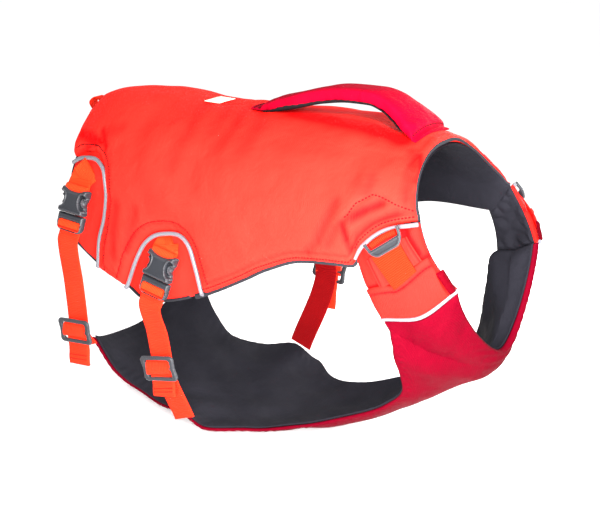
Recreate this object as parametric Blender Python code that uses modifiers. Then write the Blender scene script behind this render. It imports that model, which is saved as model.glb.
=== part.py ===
"""Dog life jacket, laid out as it sits on a standing dog, with no dog in it.

Units in the tables are millimetres, in one frame: +X toward the neck, +Y to the dog's left, +Z up.
The origin is on the inner face of the back lining, on the middle line, where the dog's back holds it.
Every cloth piece is a surface worked out from a table of sections, given its wall by Solidify.
"""
import math

import bmesh
import bpy
import numpy as np
from mathutils import Vector
from mathutils.bvhtree import BVHTree

MM = 0.001
GAP = 0.3
SEAM = 0.6
LINING = 1.2
FACING = 3.0
FOAM = 14.5
EDGE_WALL = 5.0
PIPE = 2.0
BAND_WALL = 9.5
CHEST_WALL = 7.5
BELLY_WALL = 3.0
BELLY_LINING = 1.5
CHEST_PAD = 11.0
WEB_WIDE = 25.0
FEMALE_LONG = 25.0
MALE_LONG = 17.0
WEB_THICK = 1.8
SIDES = (("r", -1.0), ("l", 1.0))

BACK_COLUMNS = ("x_top", "z_top", "half", "drop", "square", "y_edge", "x_right", "z_right",
                "x_left", "z_left", "lean", "slump")
BACK = (
    (-225, -13, 70, 51, 1.22, 75, -203, -128, -203, -128, 0.6, 0),
    (-211, -6, 73, 54, 1.36, 77, -187, -136, -187, -136, 0.6, 0),
    (-190, -2, 78, 57, 1.62, 80, -165, -145, -165, -145, 0.7, 0),
    (-150, -3, 83, 54, 2.00, 84, -133, -154, -133, -154, 0.8, 0),
    (-122, -5, 85, 52, 2.00, 87, -112, -161, -112, -161, 1.0, 0),
    (-95, -6, 87, 51, 2.05, 89, -89, -158, -89, -158, 1.0, 0),
    (-42, -5, 89, 52, 2.10, 91, -38, -140, -38, -140, 1.0, 0),
    (5, -3, 91, 53, 2.10, 92, 8, -116, 8, -114, 1.0, 0),
    (32, -2, 91, 54, 2.10, 93, 33, -102, 33, -98, 1.0, 0),
    (65, -1, 90, 54, 2.05, 92, 66, -89, 67, -82, 1.2, 0),
    (90, 0, 88, 53, 1.95, 90, 94, -86, 94, -77, 1.5, 3),
    (104, 0, 86, 50, 1.85, 88, 114, -85, 118, -76, 2.0, 6),
    (117, 0, 84, 46, 1.75, 86, 125, -66, 149, -76, 2.4, 10),
    (133, 1, 81, 41, 1.68, 83, 144, -50, 161, -64, 2.2, 13),
    (150, 2, 78, 37, 1.66, 80, 171, -41, 172, -48, 1.6, 14),
)

BELLY_COLUMNS = ("row", "x_mid", "z_mid", "y_edge", "x_right", "z_right", "x_left", "z_left",
                 "vee", "bow")
BELLY = (
    (0, -206, -238, 88, -181, -215, -192, -195, 0.28, 55),
    (1, -180, -248, 82, -160, -249, -165, -240, 0.22, 55),
    (2, -146, -257, 79, -138, -262, -138, -262, 0.20, 55),
    (3, -106, -266, 87, -104, -266, -104, -266, 0.20, 55),
    (4, -68, -274, 97, -72, -261, -72, -261, 0.20, 55),
    (5, -42, -279, 96, -44, -272, -44, -272, 0.20, 55),
    (6, -6, -282, 71, -8, -274, -8, -274, 0.20, 58),
    (7, 36, -277, 57, 36, -264, 36, -264, 0.20, 60),
    (8, 84, -261, 54, 80, -246, 80, -246, 0.22, 66),
    (9, 126, -238, 54, 124, -223, 130, -222, 0.25, 72),
    (10, 160, -216, 58, 145, -201, 151, -200, 0.35, 80),
    (11, 182, -200, 68, 148, -178, 156, -176, 0.45, 85),
    (12, 194, -189, 80, 149, -153, 158, -148, 0.50, 85),
    (13, 202, -181, 86, 143, -128, 159, -114, 0.52, 85),
    (14, 206, -175, 82, 174, -121, 182, -106, 0.54, 85),
    (15, 208, -168, 69, 200, -95, 203, -93, 0.48, 85),
)

REAR_ARCH = ((-246, -56), (-214, -46), (-195, -38), (-172, -36), (-159, -46), (-159, -66),
             (-161, -88), (-171, -119), (-173, -150), (-174, -172))
FRONT_ARCH = ((-156, -196), (-131, -152), (-117, -122), (-105, -104), (-88, -93), (-66, -89),
              (-54, -96), (-47, -112), (-38, -140), (-28, -176))

HANDLE_COLUMNS = ("x", "z", "half", "thick", "hug")
HANDLE = (
    (-46, 13.0, 11.5, 2.6, 0.9),
    (-34, 13.2, 12.5, 2.8, 0.9),
    (-28, 15.6, 13.0, 6.8, 0.8),
    (-18, 18.8, 14.0, 10.5, 0.6),
    (0, 24.2, 14.5, 12.3, 0.2),
    (30, 32.6, 14.0, 12.5, 0.0),
    (58, 36.8, 14.5, 12.8, 0.0),
    (79, 37.6, 15.5, 12.8, 0.0),
    (96, 33.9, 18.0, 12.8, 0.1),
    (109, 27.6, 21.0, 12.6, 0.3),
    (120, 21.3, 25.0, 11.0, 0.7),
    (129, 16.0, 28.0, 7.0, 1.0),
    (134, 13.6, 29.5, 3.0, 1.0),
)

STRAP_COLUMNS = ("name", "side", "sewn", "top", "bottom", "slider", "end", "tail")
STRAPS = (
    ("rear_r", -1, (-184, -46), (-188, 91, -67), (-200, 97, -119), (-189, 100, -206),
     (-182, 95, -222), 19),
    ("rear_l", 1, (-184, -46), (-188, 91, -67), (-200, 97, -119), (-198, 99, -160),
     (-191, 95, -203), 19),
    ("front_r", -1, (-74, -102), (-76, 102, -107), (-94, 107, -159), (-79, 108, -216),
     (-56, 102, -262), 12),
    ("front_l", 1, (-76, -102), (-77, 102, -107), (-51, 108, -155), (-41, 109, -177),
     (-68, 102, -262), 26),
)

ORANGE = ("orange_cloth", (0.91, 0.085, 0.022, 1), 0.62)
CRIMSON = ("crimson_cloth", (0.60, 0.006, 0.030, 1), 0.62)
DARK = ("charcoal_lining", (0.030, 0.032, 0.036, 1), 0.70)
WEBBING = ("orange_webbing", (0.90, 0.110, 0.020, 1), 0.70)
PIPING = ("reflective_piping", (0.62, 0.62, 0.64, 1), 0.40)
PLASTIC = ("grey_plastic", (0.060, 0.064, 0.072, 1), 0.42)
SLIDER = ("slider_plastic", (0.110, 0.120, 0.135, 1), 0.42)
LABEL = ("label_cloth", (0.70, 0.76, 0.60, 1), 0.60)

collections = {}


def collection(name):
    """Make a collection once and return it."""
    if name not in collections:
        made = bpy.data.collections.new(name)
        bpy.context.scene.collection.children.link(made)
        collections[name] = made
    return collections[name]


def finish_object(name, data, finish):
    """Link an object to the jacket, with a material of its own."""
    kind, colour, roughness = finish
    obj = bpy.data.objects.new(name, data)
    collection("dog_life_jacket").objects.link(obj)
    mat = bpy.data.materials.new(name + "_" + kind)
    mat.use_nodes = True
    mat.diffuse_color = colour
    shader = mat.node_tree.nodes["Principled BSDF"]
    shader.inputs["Base Color"].default_value = colour
    shader.inputs["Roughness"].default_value = roughness
    shader.inputs["Metallic"].default_value = 0.0
    data.materials.append(mat)
    return obj


def unit(vectors):
    """Scale vectors to length one."""
    vectors = np.asarray(vectors, float)
    return vectors / np.maximum(np.linalg.norm(vectors, axis=-1, keepdims=True), 1e-9)


def table_at(rows, at):
    """Columns after the first, eased between the rows of a table by monotone cubics."""
    rows = np.asarray(rows, float)
    key, cols = rows[:, 0], rows[:, 1:]
    step = np.diff(key)[:, None]
    slope = np.diff(cols, axis=0) / step
    tangent = np.zeros_like(cols)
    tangent[0], tangent[-1] = slope[0], slope[-1]
    before, after = slope[:-1], slope[1:]
    same = before * after > 0
    mean = 2 * before * after / np.where(same, before + after, 1.0)
    tangent[1:-1] = np.where(same, mean, 0.0)
    at = np.asarray(at, float)
    i = np.clip(np.searchsorted(key, at, side="right") - 1, 0, len(key) - 2)
    h = step[i]
    t = ((at - key[i]) / (key[i + 1] - key[i]))[:, None]
    return ((2 * t**3 - 3 * t**2 + 1) * cols[i] + (t**3 - 2 * t**2 + t) * h * tangent[i]
            + (3 * t**2 - 2 * t**3) * cols[i + 1] + (t**3 - t**2) * h * tangent[i + 1])


def smooth_line(points, count):
    """A line through the points, eased and spaced evenly."""
    points = np.asarray(points, float)
    run = np.r_[0, np.cumsum(np.linalg.norm(np.diff(points, axis=0), axis=1))]
    fine = table_at(np.c_[run, points], np.linspace(0, run[-1], 400))
    along = np.r_[0, np.cumsum(np.linalg.norm(np.diff(fine, axis=0), axis=1))]
    want = np.linspace(0, along[-1], count)
    return np.stack([np.interp(want, along, fine[:, k]) for k in range(points.shape[1])], 1)


def offset_line(line, distance):
    """Move a flat line to its left side by a distance."""
    ahead = unit(np.gradient(line, axis=0))
    return line + distance * np.stack([-ahead[:, 1], ahead[:, 0]], 1)


def normals(grid, flip=False):
    """Outward direction at every point of a grid."""
    cross = unit(np.cross(np.gradient(grid, axis=0), np.gradient(grid, axis=1)))
    return -cross if flip else cross


def eased(part, round_off=0.22):
    """Part of the way from 0 to 1, with its start rounded off so that no crease forms there."""
    part = np.abs(part)
    reach = math.hypot(1, round_off) - round_off
    return (np.hypot(part, round_off) - round_off) / reach


def back_grid(xs, ts):
    """The inner face of the back: a superellipse crown, then a flank down to each edge."""
    ts = np.asarray(ts, float)
    grid = np.empty((len(xs), len(ts), 3))
    turn = np.linspace(0, math.pi / 2, 60)
    fall = np.linspace(0, 1, 30)[1:]
    for i, row in enumerate(table_at(BACK, xs)):
        z_top, half, drop, square, y_edge, x_right, z_right, x_left, z_left, lean, slump = row
        y = np.r_[half * np.sin(turn), half + (y_edge - half) * fall**1.6]
        crown = z_top - drop * (1 - (1 - eased(np.sin(turn)) ** square).clip(0, 1) ** (1 / square))
        for side, x_edge, z_edge in ((ts < 0, x_right, z_right), (ts >= 0, x_left, z_left)):
            z = np.r_[crown, crown[-1] + (z_edge - crown[-1]) * fall]
            run = np.r_[0, np.cumsum(np.hypot(np.diff(y), np.diff(z)))]
            run /= run[-1]
            part = np.abs(ts[side])
            grid[i, side, 0] = xs[i] + (x_edge - xs[i]) * eased(part) ** lean
            grid[i, side, 1] = np.sign(ts[side]) * np.interp(part, run, y)
            grid[i, side, 2] = np.interp(part, run, z)
        grid[i, :, 2] -= np.where(ts > 0, slump, 0) * np.sin(math.pi * ts**2)
    return grid


def belly_grid(rows, us):
    """The face between belly lining and belly panel: each row hangs between its two edges."""
    us = np.asarray(us, float)
    grid = np.empty((len(rows), len(us), 3))
    for i, row in enumerate(table_at(BELLY, rows)):
        x_mid, z_mid, y_edge, x_right, z_right, x_left, z_left, vee, bow = row
        bend = math.radians(bow)
        part = np.sin(np.abs(us) * bend) / math.sin(bend)
        rise = (1 - np.cos(np.abs(us) * bend)) / (1 - math.cos(bend))
        x_edge, z_edge = np.where(us < 0, x_right, x_left), np.where(us < 0, z_right, z_left)
        grid[i, :, 0] = x_mid + (x_edge - x_mid) * part**2
        grid[i, :, 1] = np.sign(us) * y_edge * part
        grid[i, :, 2] = z_mid + (z_edge - z_mid) * (vee * eased(part) + (1 - vee) * rise)
    return grid


def grid_faces(rows, columns, flip=False):
    """Quads of a grid, counter-clockwise seen from outside."""
    faces = []
    for i in range(rows - 1):
        for j in range(columns - 1):
            a = i * columns + j
            quad = (a, a + columns, a + columns + 1, a + 1)
            faces.append(quad[::-1] if flip else quad)
    return faces


def sheet(name, grid, wall, finish, weights=None, flip=False, inward=False):
    """A cloth piece: an open surface with a wall from Solidify, thinner where weights say."""
    mesh = bpy.data.meshes.new(name)
    rows, columns = grid.shape[:2]
    mesh.from_pydata((grid.reshape(-1, 3) * MM).tolist(), [], grid_faces(rows, columns, flip))
    obj = finish_object(name, mesh, finish)
    for face in mesh.polygons:
        face.use_smooth = True
    thick = obj.modifiers.new("wall", "SOLIDIFY")
    thick.thickness = wall * MM
    thick.offset = -1.0 if inward else 1.0
    thick.use_even_offset = False
    if weights is not None:
        group = obj.vertex_groups.new(name="wall")
        for index, weight in enumerate(np.clip(weights, 0.02, 1).ravel()):
            group.add([index], float(weight), "REPLACE")
        thick.vertex_group = "wall"
    return obj


def cord(name, points, radius, finish, closed=False, sides=6):
    """A round cord along a line of points."""
    curve = bpy.data.curves.new(name, "CURVE")
    curve.dimensions = "3D"
    curve.bevel_depth = radius * MM
    curve.bevel_resolution = max(0, sides // 2 - 2)
    curve.resolution_u = 1
    curve.render_resolution_u = 0
    curve.use_fill_caps = not closed
    spline = curve.splines.new("POLY")
    spline.points.add(len(points) - 1)
    for point, place in zip(spline.points, points):
        point.co = (place[0] * MM, place[1] * MM, place[2] * MM, 1)
    spline.use_cyclic_u = closed
    return finish_object(name, curve, finish)


def ribbon(name, line, width, wall, across, finish, columns=2, flip=False):
    """A strap of one width along a line, with a direction across it for every point."""
    line = np.asarray(line, float)
    across = unit(np.broadcast_to(np.asarray(across, float), line.shape))
    along = unit(np.gradient(line, axis=0))
    across = unit(across - along * np.sum(across * along, axis=1, keepdims=True))
    spread = np.linspace(-0.5, 0.5, columns) * width
    grid = line[:, None, :] + across[:, None, :] * spread[None, :, None]
    return sheet(name, grid, wall, finish, flip=flip)


def block(name, centre, size, down, out, finish, holes=(), round_mm=1.5):
    """A moulded block with its length along down and its thickness along out.

    Each hole is (place along, length, width) and goes through the thickness.
    """
    down = Vector(down).normalized()
    out = Vector(out)
    out = (out - down * out.dot(down)).normalized()
    wide = down.cross(out)
    length, width, thick = size
    stops = [(-length / 2, -length / 2)]
    for place, hole, _ in holes:
        stops.append((place - hole / 2, place + hole / 2))
    stops.append((length / 2, length / 2))
    bm = bmesh.new()
    cuts = sorted({round(value, 4) for stop in stops for value in stop})
    opening = {round(place - hole / 2, 4): gap for place, hole, gap in holes}
    gap = holes[0][2] if holes else 0.0
    sides = [-width / 2, -gap / 2, gap / 2, width / 2] if holes else [-width / 2, width / 2]
    layers = []
    for level in (-thick / 2, thick / 2):
        layers.append([[bm.verts.new(
            ((Vector(centre) + down * a + wide * b + out * level) * MM)[:]) for b in sides]
            for a in cuts])
    kept = set()
    for i in range(len(cuts) - 1):
        for j in range(len(sides) - 1):
            if not (holes and j == 1 and cuts[i] in opening):
                kept.add((i, j))
    low, high = layers
    for i, j in sorted(kept):
        bm.faces.new((high[i][j], high[i + 1][j], high[i + 1][j + 1], high[i][j + 1]))
        bm.faces.new((low[i][j], low[i][j + 1], low[i + 1][j + 1], low[i + 1][j]))
        for (di, dj), a, b in (((-1, 0), (i, j), (i, j + 1)), ((1, 0), (i + 1, j + 1), (i + 1, j)),
                               ((0, -1), (i + 1, j), (i, j)), ((0, 1), (i, j + 1), (i + 1, j + 1))):
            if (i + di, j + dj) not in kept:
                bm.faces.new((low[a[0]][a[1]], high[a[0]][a[1]], high[b[0]][b[1]], low[b[0]][b[1]]))
    bmesh.ops.recalc_face_normals(bm, faces=bm.faces[:])
    mesh = bpy.data.meshes.new(name)
    bm.to_mesh(mesh)
    bm.free()
    obj = finish_object(name, mesh, finish)
    if round_mm:
        bevel = obj.modifiers.new("rounded", "BEVEL")
        bevel.width = round_mm * MM
        bevel.segments = 1
        bevel.limit_method = "ANGLE"
    return obj


def prism(name, outline, near, far):
    """A cutter: a flat outline in x and z, drawn out along y."""
    mesh = bpy.data.meshes.new(name)
    count = len(outline)
    verts = [(x * MM, y * MM, z * MM) for y in (near, far) for x, z in outline]
    faces = [tuple(range(count)), tuple(range(2 * count - 1, count - 1, -1))]
    faces += [(k, (k + 1) % count, count + (k + 1) % count, count + k) for k in range(count)]
    mesh.from_pydata(verts, [], faces)
    bm = bmesh.new()
    bm.from_mesh(mesh)
    bmesh.ops.recalc_face_normals(bm, faces=bm.faces[:])
    bm.to_mesh(mesh)
    bm.free()
    obj = bpy.data.objects.new(name, mesh)
    collection("cutters").objects.link(obj)
    obj.hide_render = True
    obj.display_type = "WIRE"
    return obj


def cut(obj, cutter, operation="DIFFERENCE"):
    """Cut an object, or keep its part inside the cutter."""
    boolean = obj.modifiers.new(cutter.name, "BOOLEAN")
    boolean.operation = operation
    boolean.solver = "EXACT"
    boolean.object = cutter


def skin(grid):
    """A tree of the quads of a grid, to find where a line along y meets it."""
    rows, columns = grid.shape[:2]
    verts = [Vector(p) for p in grid.reshape(-1, 3)]
    return BVHTree.FromPolygons(verts, grid_faces(rows, columns))


def touch(tree, x, z, side):
    """The point of the skin at x and z, on one side of the dog."""
    place = tree.ray_cast(Vector((x, side * 300, z)), Vector((0, -side, 0)))[0]
    if place is None:
        raise ValueError("no skin at %.1f %.1f" % (x, z))
    return np.array(place)


def arch_outlines(points):
    """The centre line of an arch's piping, and the outlines of its notch and its facing."""
    line = smooth_line(points, 28)
    return line, offset_line(line, PIPE + GAP), offset_line(line, PIPE)


def from_outline(grid, outline):
    """Distance in x and z from each point to a closed outline, zero inside it."""
    x, z = grid[..., 0], grid[..., 2]
    away = np.full(x.shape, np.inf)
    inside = np.zeros(x.shape, bool)
    for (ax, az), (bx, bz) in zip(outline, np.roll(outline, -1, axis=0)):
        dx, dz = bx - ax, bz - az
        part = ((x - ax) * dx + (z - az) * dz) / (dx * dx + dz * dz)
        part = part.clip(0, 1)
        away = np.minimum(away, np.hypot(x - ax - dx * part, z - az - dz * part))
        if dz:
            inside ^= ((az > z) != (bz > z)) & (x < ax + dx * (z - az) / dz)
    return np.where(inside, 0.0, away)


BACK_X = np.array([-226, -222, -213, -201, -187, -171, -154, -136, -118, -100, -80, -56, -30,
                   -4, 22, 46, 68, 86, 97, 104, 110, 117, 125, 134, 143, 150], float)
BAND_ROW = {"r": 20, "l": 21}
BACK_T = np.array([0.0, 0.12, 0.24, 0.36, 0.47, 0.57, 0.67, 0.77, 0.86, 0.94, 1.0])
BACK_T = np.r_[-BACK_T[:0:-1], BACK_T]


def build_back():
    """Back panel with its arches, lining, facings, arch piping and edge binding."""
    base = back_grid(BACK_X, BACK_T)
    out = normals(base)
    sheet("back_lining", base, LINING, DARK)

    start = base + out * (LINING + SEAM)
    flat = np.linalg.norm
    rear = flat(base - base[:1], axis=2)
    neck = flat(base - base[-1:], axis=2)
    low = np.minimum(flat(base - base[:, :1], axis=2), flat(base - base[:, -1:], axis=2))
    rear_line, rear_notch, rear_face = arch_outlines(REAR_ARCH)
    front_line, front_notch, front_face = arch_outlines(FRONT_ARCH)
    corner = np.array([(-262, -176), (-262, -56)])
    arch = np.minimum(from_outline(base, np.r_[rear_notch, corner]),
                      from_outline(base, front_notch))
    near = np.minimum(np.minimum(rear / 26, (neck / 75) ** 2), np.minimum(low / 26, arch / 22))
    near = near.clip(0, 1)
    wall = EDGE_WALL + (FOAM - EDGE_WALL) * np.sqrt(1 - (1 - near) ** 2)
    panel = sheet("back_panel", start, FOAM, ORANGE, weights=wall / FOAM)

    shapes = (("rear", rear_line, rear_notch, rear_face, True),
              ("front", front_line, front_notch, front_face, False))
    pipe_skin = skin(start + out * (FACING + 2 * SEAM + PIPE))
    for arch, line, notch, face, at_corner in shapes:
        for tag, side in SIDES:
            near_y, far_y = side * 150, side * 25
            closed = np.r_[notch, corner] if at_corner else notch
            cut(panel, prism("notch_%s_%s" % (arch, tag), closed, near_y, far_y))
            closed = np.r_[face, corner] if at_corner else face
            keep = prism("keep_%s_%s" % (arch, tag), closed, near_y, far_y)
            half = slice(0, 8) if side < 0 else slice(len(BACK_T) - 8, None)
            rows = slice(0, 8) if at_corner else slice(5, 14)
            facing = sheet("%s_facing_%s" % (arch, tag), start[rows, half], FACING, ORANGE)
            cut(facing, keep, "INTERSECT")
            points = []
            for x, z in line:
                try:
                    points.append(touch(pipe_skin, x, z, side))
                except ValueError:
                    continue
            cord("%s_piping_%s" % (arch, tag), points[1:-1], PIPE, PIPING)

    for tag, side in SIDES:
        column = 0 if side < 0 else -1
        rows = slice(12, BAND_ROW[tag])
        line = start[rows, column] + out[rows, column] * EDGE_WALL * 0.5
        line = line + np.array([0, 0, -(1.7 + GAP + 0.9)])
        cord("edge_binding_%s" % tag, line, 1.7, DARK)
    return base, out, start


def shoulder_grid(upper, lower, side, us, vs):
    """The inner face of a shoulder band: drawn from the back's lobe down to the chest's top edge."""
    upper = smooth_line(upper, 60)
    lower = smooth_line(lower, 60)
    place = np.asarray(us) * 59
    top = np.stack([np.interp(place, np.arange(60), upper[:, k]) for k in range(3)], 1)
    low = np.stack([np.interp(place, np.arange(60), lower[:, k]) for k in range(3)], 1)
    drop = unit(low - top)
    top = (top + drop * 1.2)[:, None]
    low = (low - drop * 1.6)[:, None]
    part = np.asarray(vs)[None, :, None]
    grid = top * (1 - part) + low * part
    belly = np.sin(math.pi * part[..., 0].clip(0, 1))
    grid[..., 0] += 3 * belly * np.asarray(us)[:, None]
    grid[..., 1] += side * 4 * belly
    return grid


def shoulder_wall(us, vs):
    """Wall of the shoulder band: padded, thinner along its edges and where it goes under."""
    along = np.minimum(us, 1 - us) / 0.28
    down = np.minimum(vs, 1 - vs) / 0.30
    near = np.minimum(along[:, None], down[None, :]).clip(0, 1)
    return 3.0 + (BAND_WALL - 3.0) * np.sqrt(1 - (1 - near) ** 2)


def build_shoulders(base, start):
    """The padded bands, their linings and pipings, and the adjuster sewn on each band."""
    us = np.array([0, 0.10, 0.25, 0.42, 0.58, 0.75, 0.90, 1.0])
    vs = np.array([0, 0.12, 0.30, 0.5, 0.70, 0.88, 1.0])
    for tag, side in SIDES:
        flip = side < 0
        column = 0 if side < 0 else -1
        upper = base[BAND_ROW[tag]:, column]
        lower = belly_grid(np.linspace(13, 15, 9), np.array([side]))[:, 0]

        def outer(us, vs, lift):
            grid = shoulder_grid(upper, lower, side, us, vs)
            wall = shoulder_wall(us, vs)[..., None]
            return grid + normals(grid, flip) * (LINING + GAP + wall + lift)

        grid = shoulder_grid(upper, lower, side, us, vs)
        sheet("shoulder_lining_%s" % tag, grid, LINING, DARK, flip=flip)
        sheet("shoulder_strap_%s" % tag, grid + normals(grid, flip) * (LINING + GAP), BAND_WALL,
              ORANGE, weights=shoulder_wall(us, vs) / BAND_WALL, flip=flip)

        seam = outer(np.linspace(0, 1, 12), np.array([0.058, 0.10]), PIPE + 2.4 * SEAM)[:, 0]
        cord("shoulder_piping_%s" % tag, seam, PIPE, PIPING)
        seam = outer(np.linspace(0, 1, 12), np.array([0.95, 0.995]), PIPE + 3.4 * SEAM)[:, 1]
        cord("chest_piping_%s" % tag, seam, PIPE, PIPING)

        reach = np.linalg.norm(grid[4, -1] - grid[4, 0])
        tab_v = np.linspace(8.2, max(0.52 * reach, 32), 5) / reach
        tab = outer(np.linspace(0.24, 0.80, 4), tab_v, 1.0)
        sheet("adjuster_tab_%s" % tag, tab, 1.4, ORANGE, flip=flip)
        web_u = np.linspace(0.32, 0.71, 4)
        patch = outer(web_u, np.linspace(19.8, max(0.57 * reach, 33), 4) / reach, 2.4 + SEAM)
        sheet("adjuster_patch_%s" % tag, patch, WEB_THICK, WEBBING, flip=flip)
        loop = outer(np.linspace(0.37, 0.65, 4), np.linspace(10.9, 12.5, 3) / reach, 2.4 + SEAM)
        sheet("adjuster_loop_%s" % tag, loop, WEB_THICK, WEBBING, flip=flip)
        near = outer(np.array([0.50, 0.54]), np.array([13.3, 17.3]) / reach, 2.4 + SEAM + 2.4)
        down = near[0, 1] - near[0, 0]
        face = normals(near, flip)[0, 0]
        block("adjuster_ring_%s" % tag, near[0, 0], (12.4, 32, 3.2), down, face, PLASTIC,
              holes=((-1.5, 7.0, 26),), round_mm=0.0)


def build_belly():
    """The chest and belly panel and its lining, padded over the chest."""
    rows = np.array([0, 0.6, 1.2, 2, 2.8, 3.5, 4.2, 5, 5.6, 6.3, 7, 7.8, 8.6, 9.4, 10.2, 11, 11.7,
                     12.4, 13, 13.5, 14, 14.5, 15])
    us = np.array([0, 0.16, 0.32, 0.48, 0.64, 0.79, 0.91, 1.0])
    us = np.r_[-us[:0:-1], us]
    face = belly_grid(rows, us)
    out = normals(face, flip=True)
    chest = ((rows - 10.5) / 1.5).clip(0, 1)
    chest = chest * chest * (3 - 2 * chest)
    rim = (15 - rows).clip(0, 1) * 0.3 + 0.7
    side = 0.7 + 0.3 * ((1 - np.abs(us)) / 0.2).clip(0, 1)
    wall = BELLY_WALL + (CHEST_WALL - BELLY_WALL) * (chest * rim)[:, None] * side[None]
    sheet("chest_belly_panel", face + out * GAP, CHEST_WALL, CRIMSON, weights=wall / CHEST_WALL,
          flip=True)
    rim = (15 - rows).clip(0, 1) * 0.9 + 0.1
    side = 0.35 + 0.65 * ((1 - np.abs(us)) / 0.16).clip(0, 1)
    wall = BELLY_LINING + (CHEST_PAD - BELLY_LINING) * (chest * rim)[:, None] * side[None]
    sheet("chest_belly_lining", face, CHEST_PAD, DARK, weights=wall / CHEST_PAD, flip=True,
          inward=True)


def build_handle():
    """The padded grip over the back and the thin dark strip under it."""
    line = np.array([row[:2] for row in HANDLE], float)
    run = np.r_[0, np.cumsum(np.linalg.norm(np.diff(line, axis=0), axis=1))]
    want = np.linspace(0, run[-1], 19)
    x, z, half, thick, hug = table_at(np.c_[run, np.asarray(HANDLE, float)], want).T
    ahead = unit(np.gradient(np.stack([x, z], 1), axis=0))
    up = np.stack([-ahead[:, 1], ahead[:, 0]], 1)
    turn = np.linspace(0, 2 * math.pi, 14, endpoint=False) + 0.1
    bm = bmesh.new()
    rings = []
    for i in range(len(want)):
        c, s = np.cos(turn), np.sin(turn)
        y = half[i] * np.sign(c) * np.abs(c) ** 0.7
        h = thick[i] / 2 * np.sign(s) * np.abs(s) ** 0.8
        px = x[i] + up[i, 0] * h
        pz = z[i] + up[i, 1] * h - hug[i] * 0.005 * y**2
        rings.append([bm.verts.new((a * MM, b * MM, d * MM)) for a, b, d in zip(px, y, pz)])
    for one, two in zip(rings, rings[1:]):
        for k in range(len(turn)):
            n = (k + 1) % len(turn)
            bm.faces.new((one[k], one[n], two[n], two[k]))
    bm.faces.new(rings[0])
    bm.faces.new(rings[-1][::-1])
    bmesh.ops.recalc_face_normals(bm, faces=bm.faces[:])
    mesh = bpy.data.meshes.new("handle")
    bm.to_mesh(mesh)
    bm.free()
    finish_object("handle", mesh, CRIMSON)

    free = slice(6, 15)
    middle = np.stack([x, np.zeros_like(x), z], 1)[free]
    below = np.stack([up[free, 0], np.zeros(len(middle)), up[free, 1]], 1)
    middle = middle - below * (thick[free] / 2 + 0.5 + LINING)[:, None]
    ribbon("handle_underside", middle, 20, LINING, (0, 1, 0), DARK)


def build_straps(start, out):
    """Side straps: webbing sewn in the arch, a buckle, webbing through a slider to the belly."""
    web_skin = skin(start + out * (FACING + 2 * SEAM))
    for name, side, sewn, top, bottom, slider, end, tail in STRAPS:
        flip_side = np.array([1, side, 1.0])
        top, bottom, slider, end = (
            np.array(p, float) * flip_side for p in (top, bottom, slider, end))
        outward = np.array([0, side, 0.0])
        down = unit(bottom - top)
        sewn_x, sewn_z = sewn
        flip = side > 0
        grid = [[touch(web_skin, sewn_x + (top[0] - sewn_x) * s + b,
                       sewn_z + (top[2] + 1 - sewn_z) * s, side)
                 for b in np.linspace(-0.5, 0.5, 5) * WEB_WIDE] for s in np.linspace(0, 1, 4)]
        sheet("webbing_upper_" + name, np.array(grid), WEB_THICK, WEBBING, flip=flip)
        centre = top + down * (FEMALE_LONG / 2) + outward * 2
        block("buckle_female_" + name, centre, (FEMALE_LONG, 32, 11), down, outward, PLASTIC)
        centre = top + down * (FEMALE_LONG + GAP + MALE_LONG / 2) + outward * 1
        block("buckle_male_" + name, centre, (MALE_LONG, 31, 8), down, outward, PLASTIC,
              holes=((2.6, 6, 25.5),), round_mm=0.0)
        first = top + down * (FEMALE_LONG + GAP + MALE_LONG + 1.6)
        path = smooth_line([first, first + down * 8,
                            (first + slider) / 2 + outward * 1.0, slider, end], 14)
        bar = np.cross(down, outward) * side
        turned = np.linspace(0, 2.2, 14).clip(0, 1)[:, None]
        across = bar * (1 - turned) + np.array([1.0, 0, 0]) * turned
        ribbon("webbing_lower_" + name, path, WEB_WIDE, WEB_THICK, across, WEBBING, flip=flip)
        along = unit(end - first)
        lift = outward * (WEB_THICK + 0.6 + 2.0)
        block("slider_" + name, slider + lift, (24, 36, 3.2), along, outward, SLIDER,
              holes=((-5.2, 6, 26.5), (5.2, 6, 26.5)), round_mm=0.0)
        hang = unit(along + np.array([0, 0, -0.6]))
        low = slider + outward * (WEB_THICK + 2.2) + hang * 15.5
        line = [low + hang * step + outward * step * 0.25 for step in np.linspace(0, tail, 4)]
        ribbon("webbing_tail_" + name, line, WEB_WIDE, 2 * WEB_THICK, (1, 0, 0), WEBBING,
               flip=flip)


def build_trim():
    """The tail-light loop at the rear and the plain label on the back."""
    loop = smooth_line([(-232.5, 0, -5), (-241, 0, -2), (-248.5, 0, -8), (-241, 0, -15),
                        (-232.5, 0, -14)], 11)
    ribbon("rear_loop", loop, 12, 1.6, (0, 1, 0), WEBBING)
    xs = np.linspace(-104, -86, 4)
    ts = np.linspace(-0.030, 0.085, 4)
    under = back_grid(xs, ts)
    face = normals(under)
    sheet("label", under + face * (LINING + GAP + FOAM + 0.6), 0.8, LABEL)


def main():
    """Clear the scene and build the jacket."""
    for obj in list(bpy.data.objects):
        bpy.data.objects.remove(obj)
    base, out, start = build_back()
    build_shoulders(base, start)
    build_belly()
    build_handle()
    build_straps(start, out)
    build_trim()


main()
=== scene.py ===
"""Dog life jacket: cloth, webbing, buckles, stitching and stage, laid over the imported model.

The tables hold millimetres in the model's own frame: +X toward the neck, +Y to the dog's left,
+Z up.  Every new piece is a surface worked out as whole numpy arrays and put into a mesh.
"""
import math

import bpy
import numpy as np
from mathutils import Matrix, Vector
from mathutils.bvhtree import BVHTree


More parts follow.
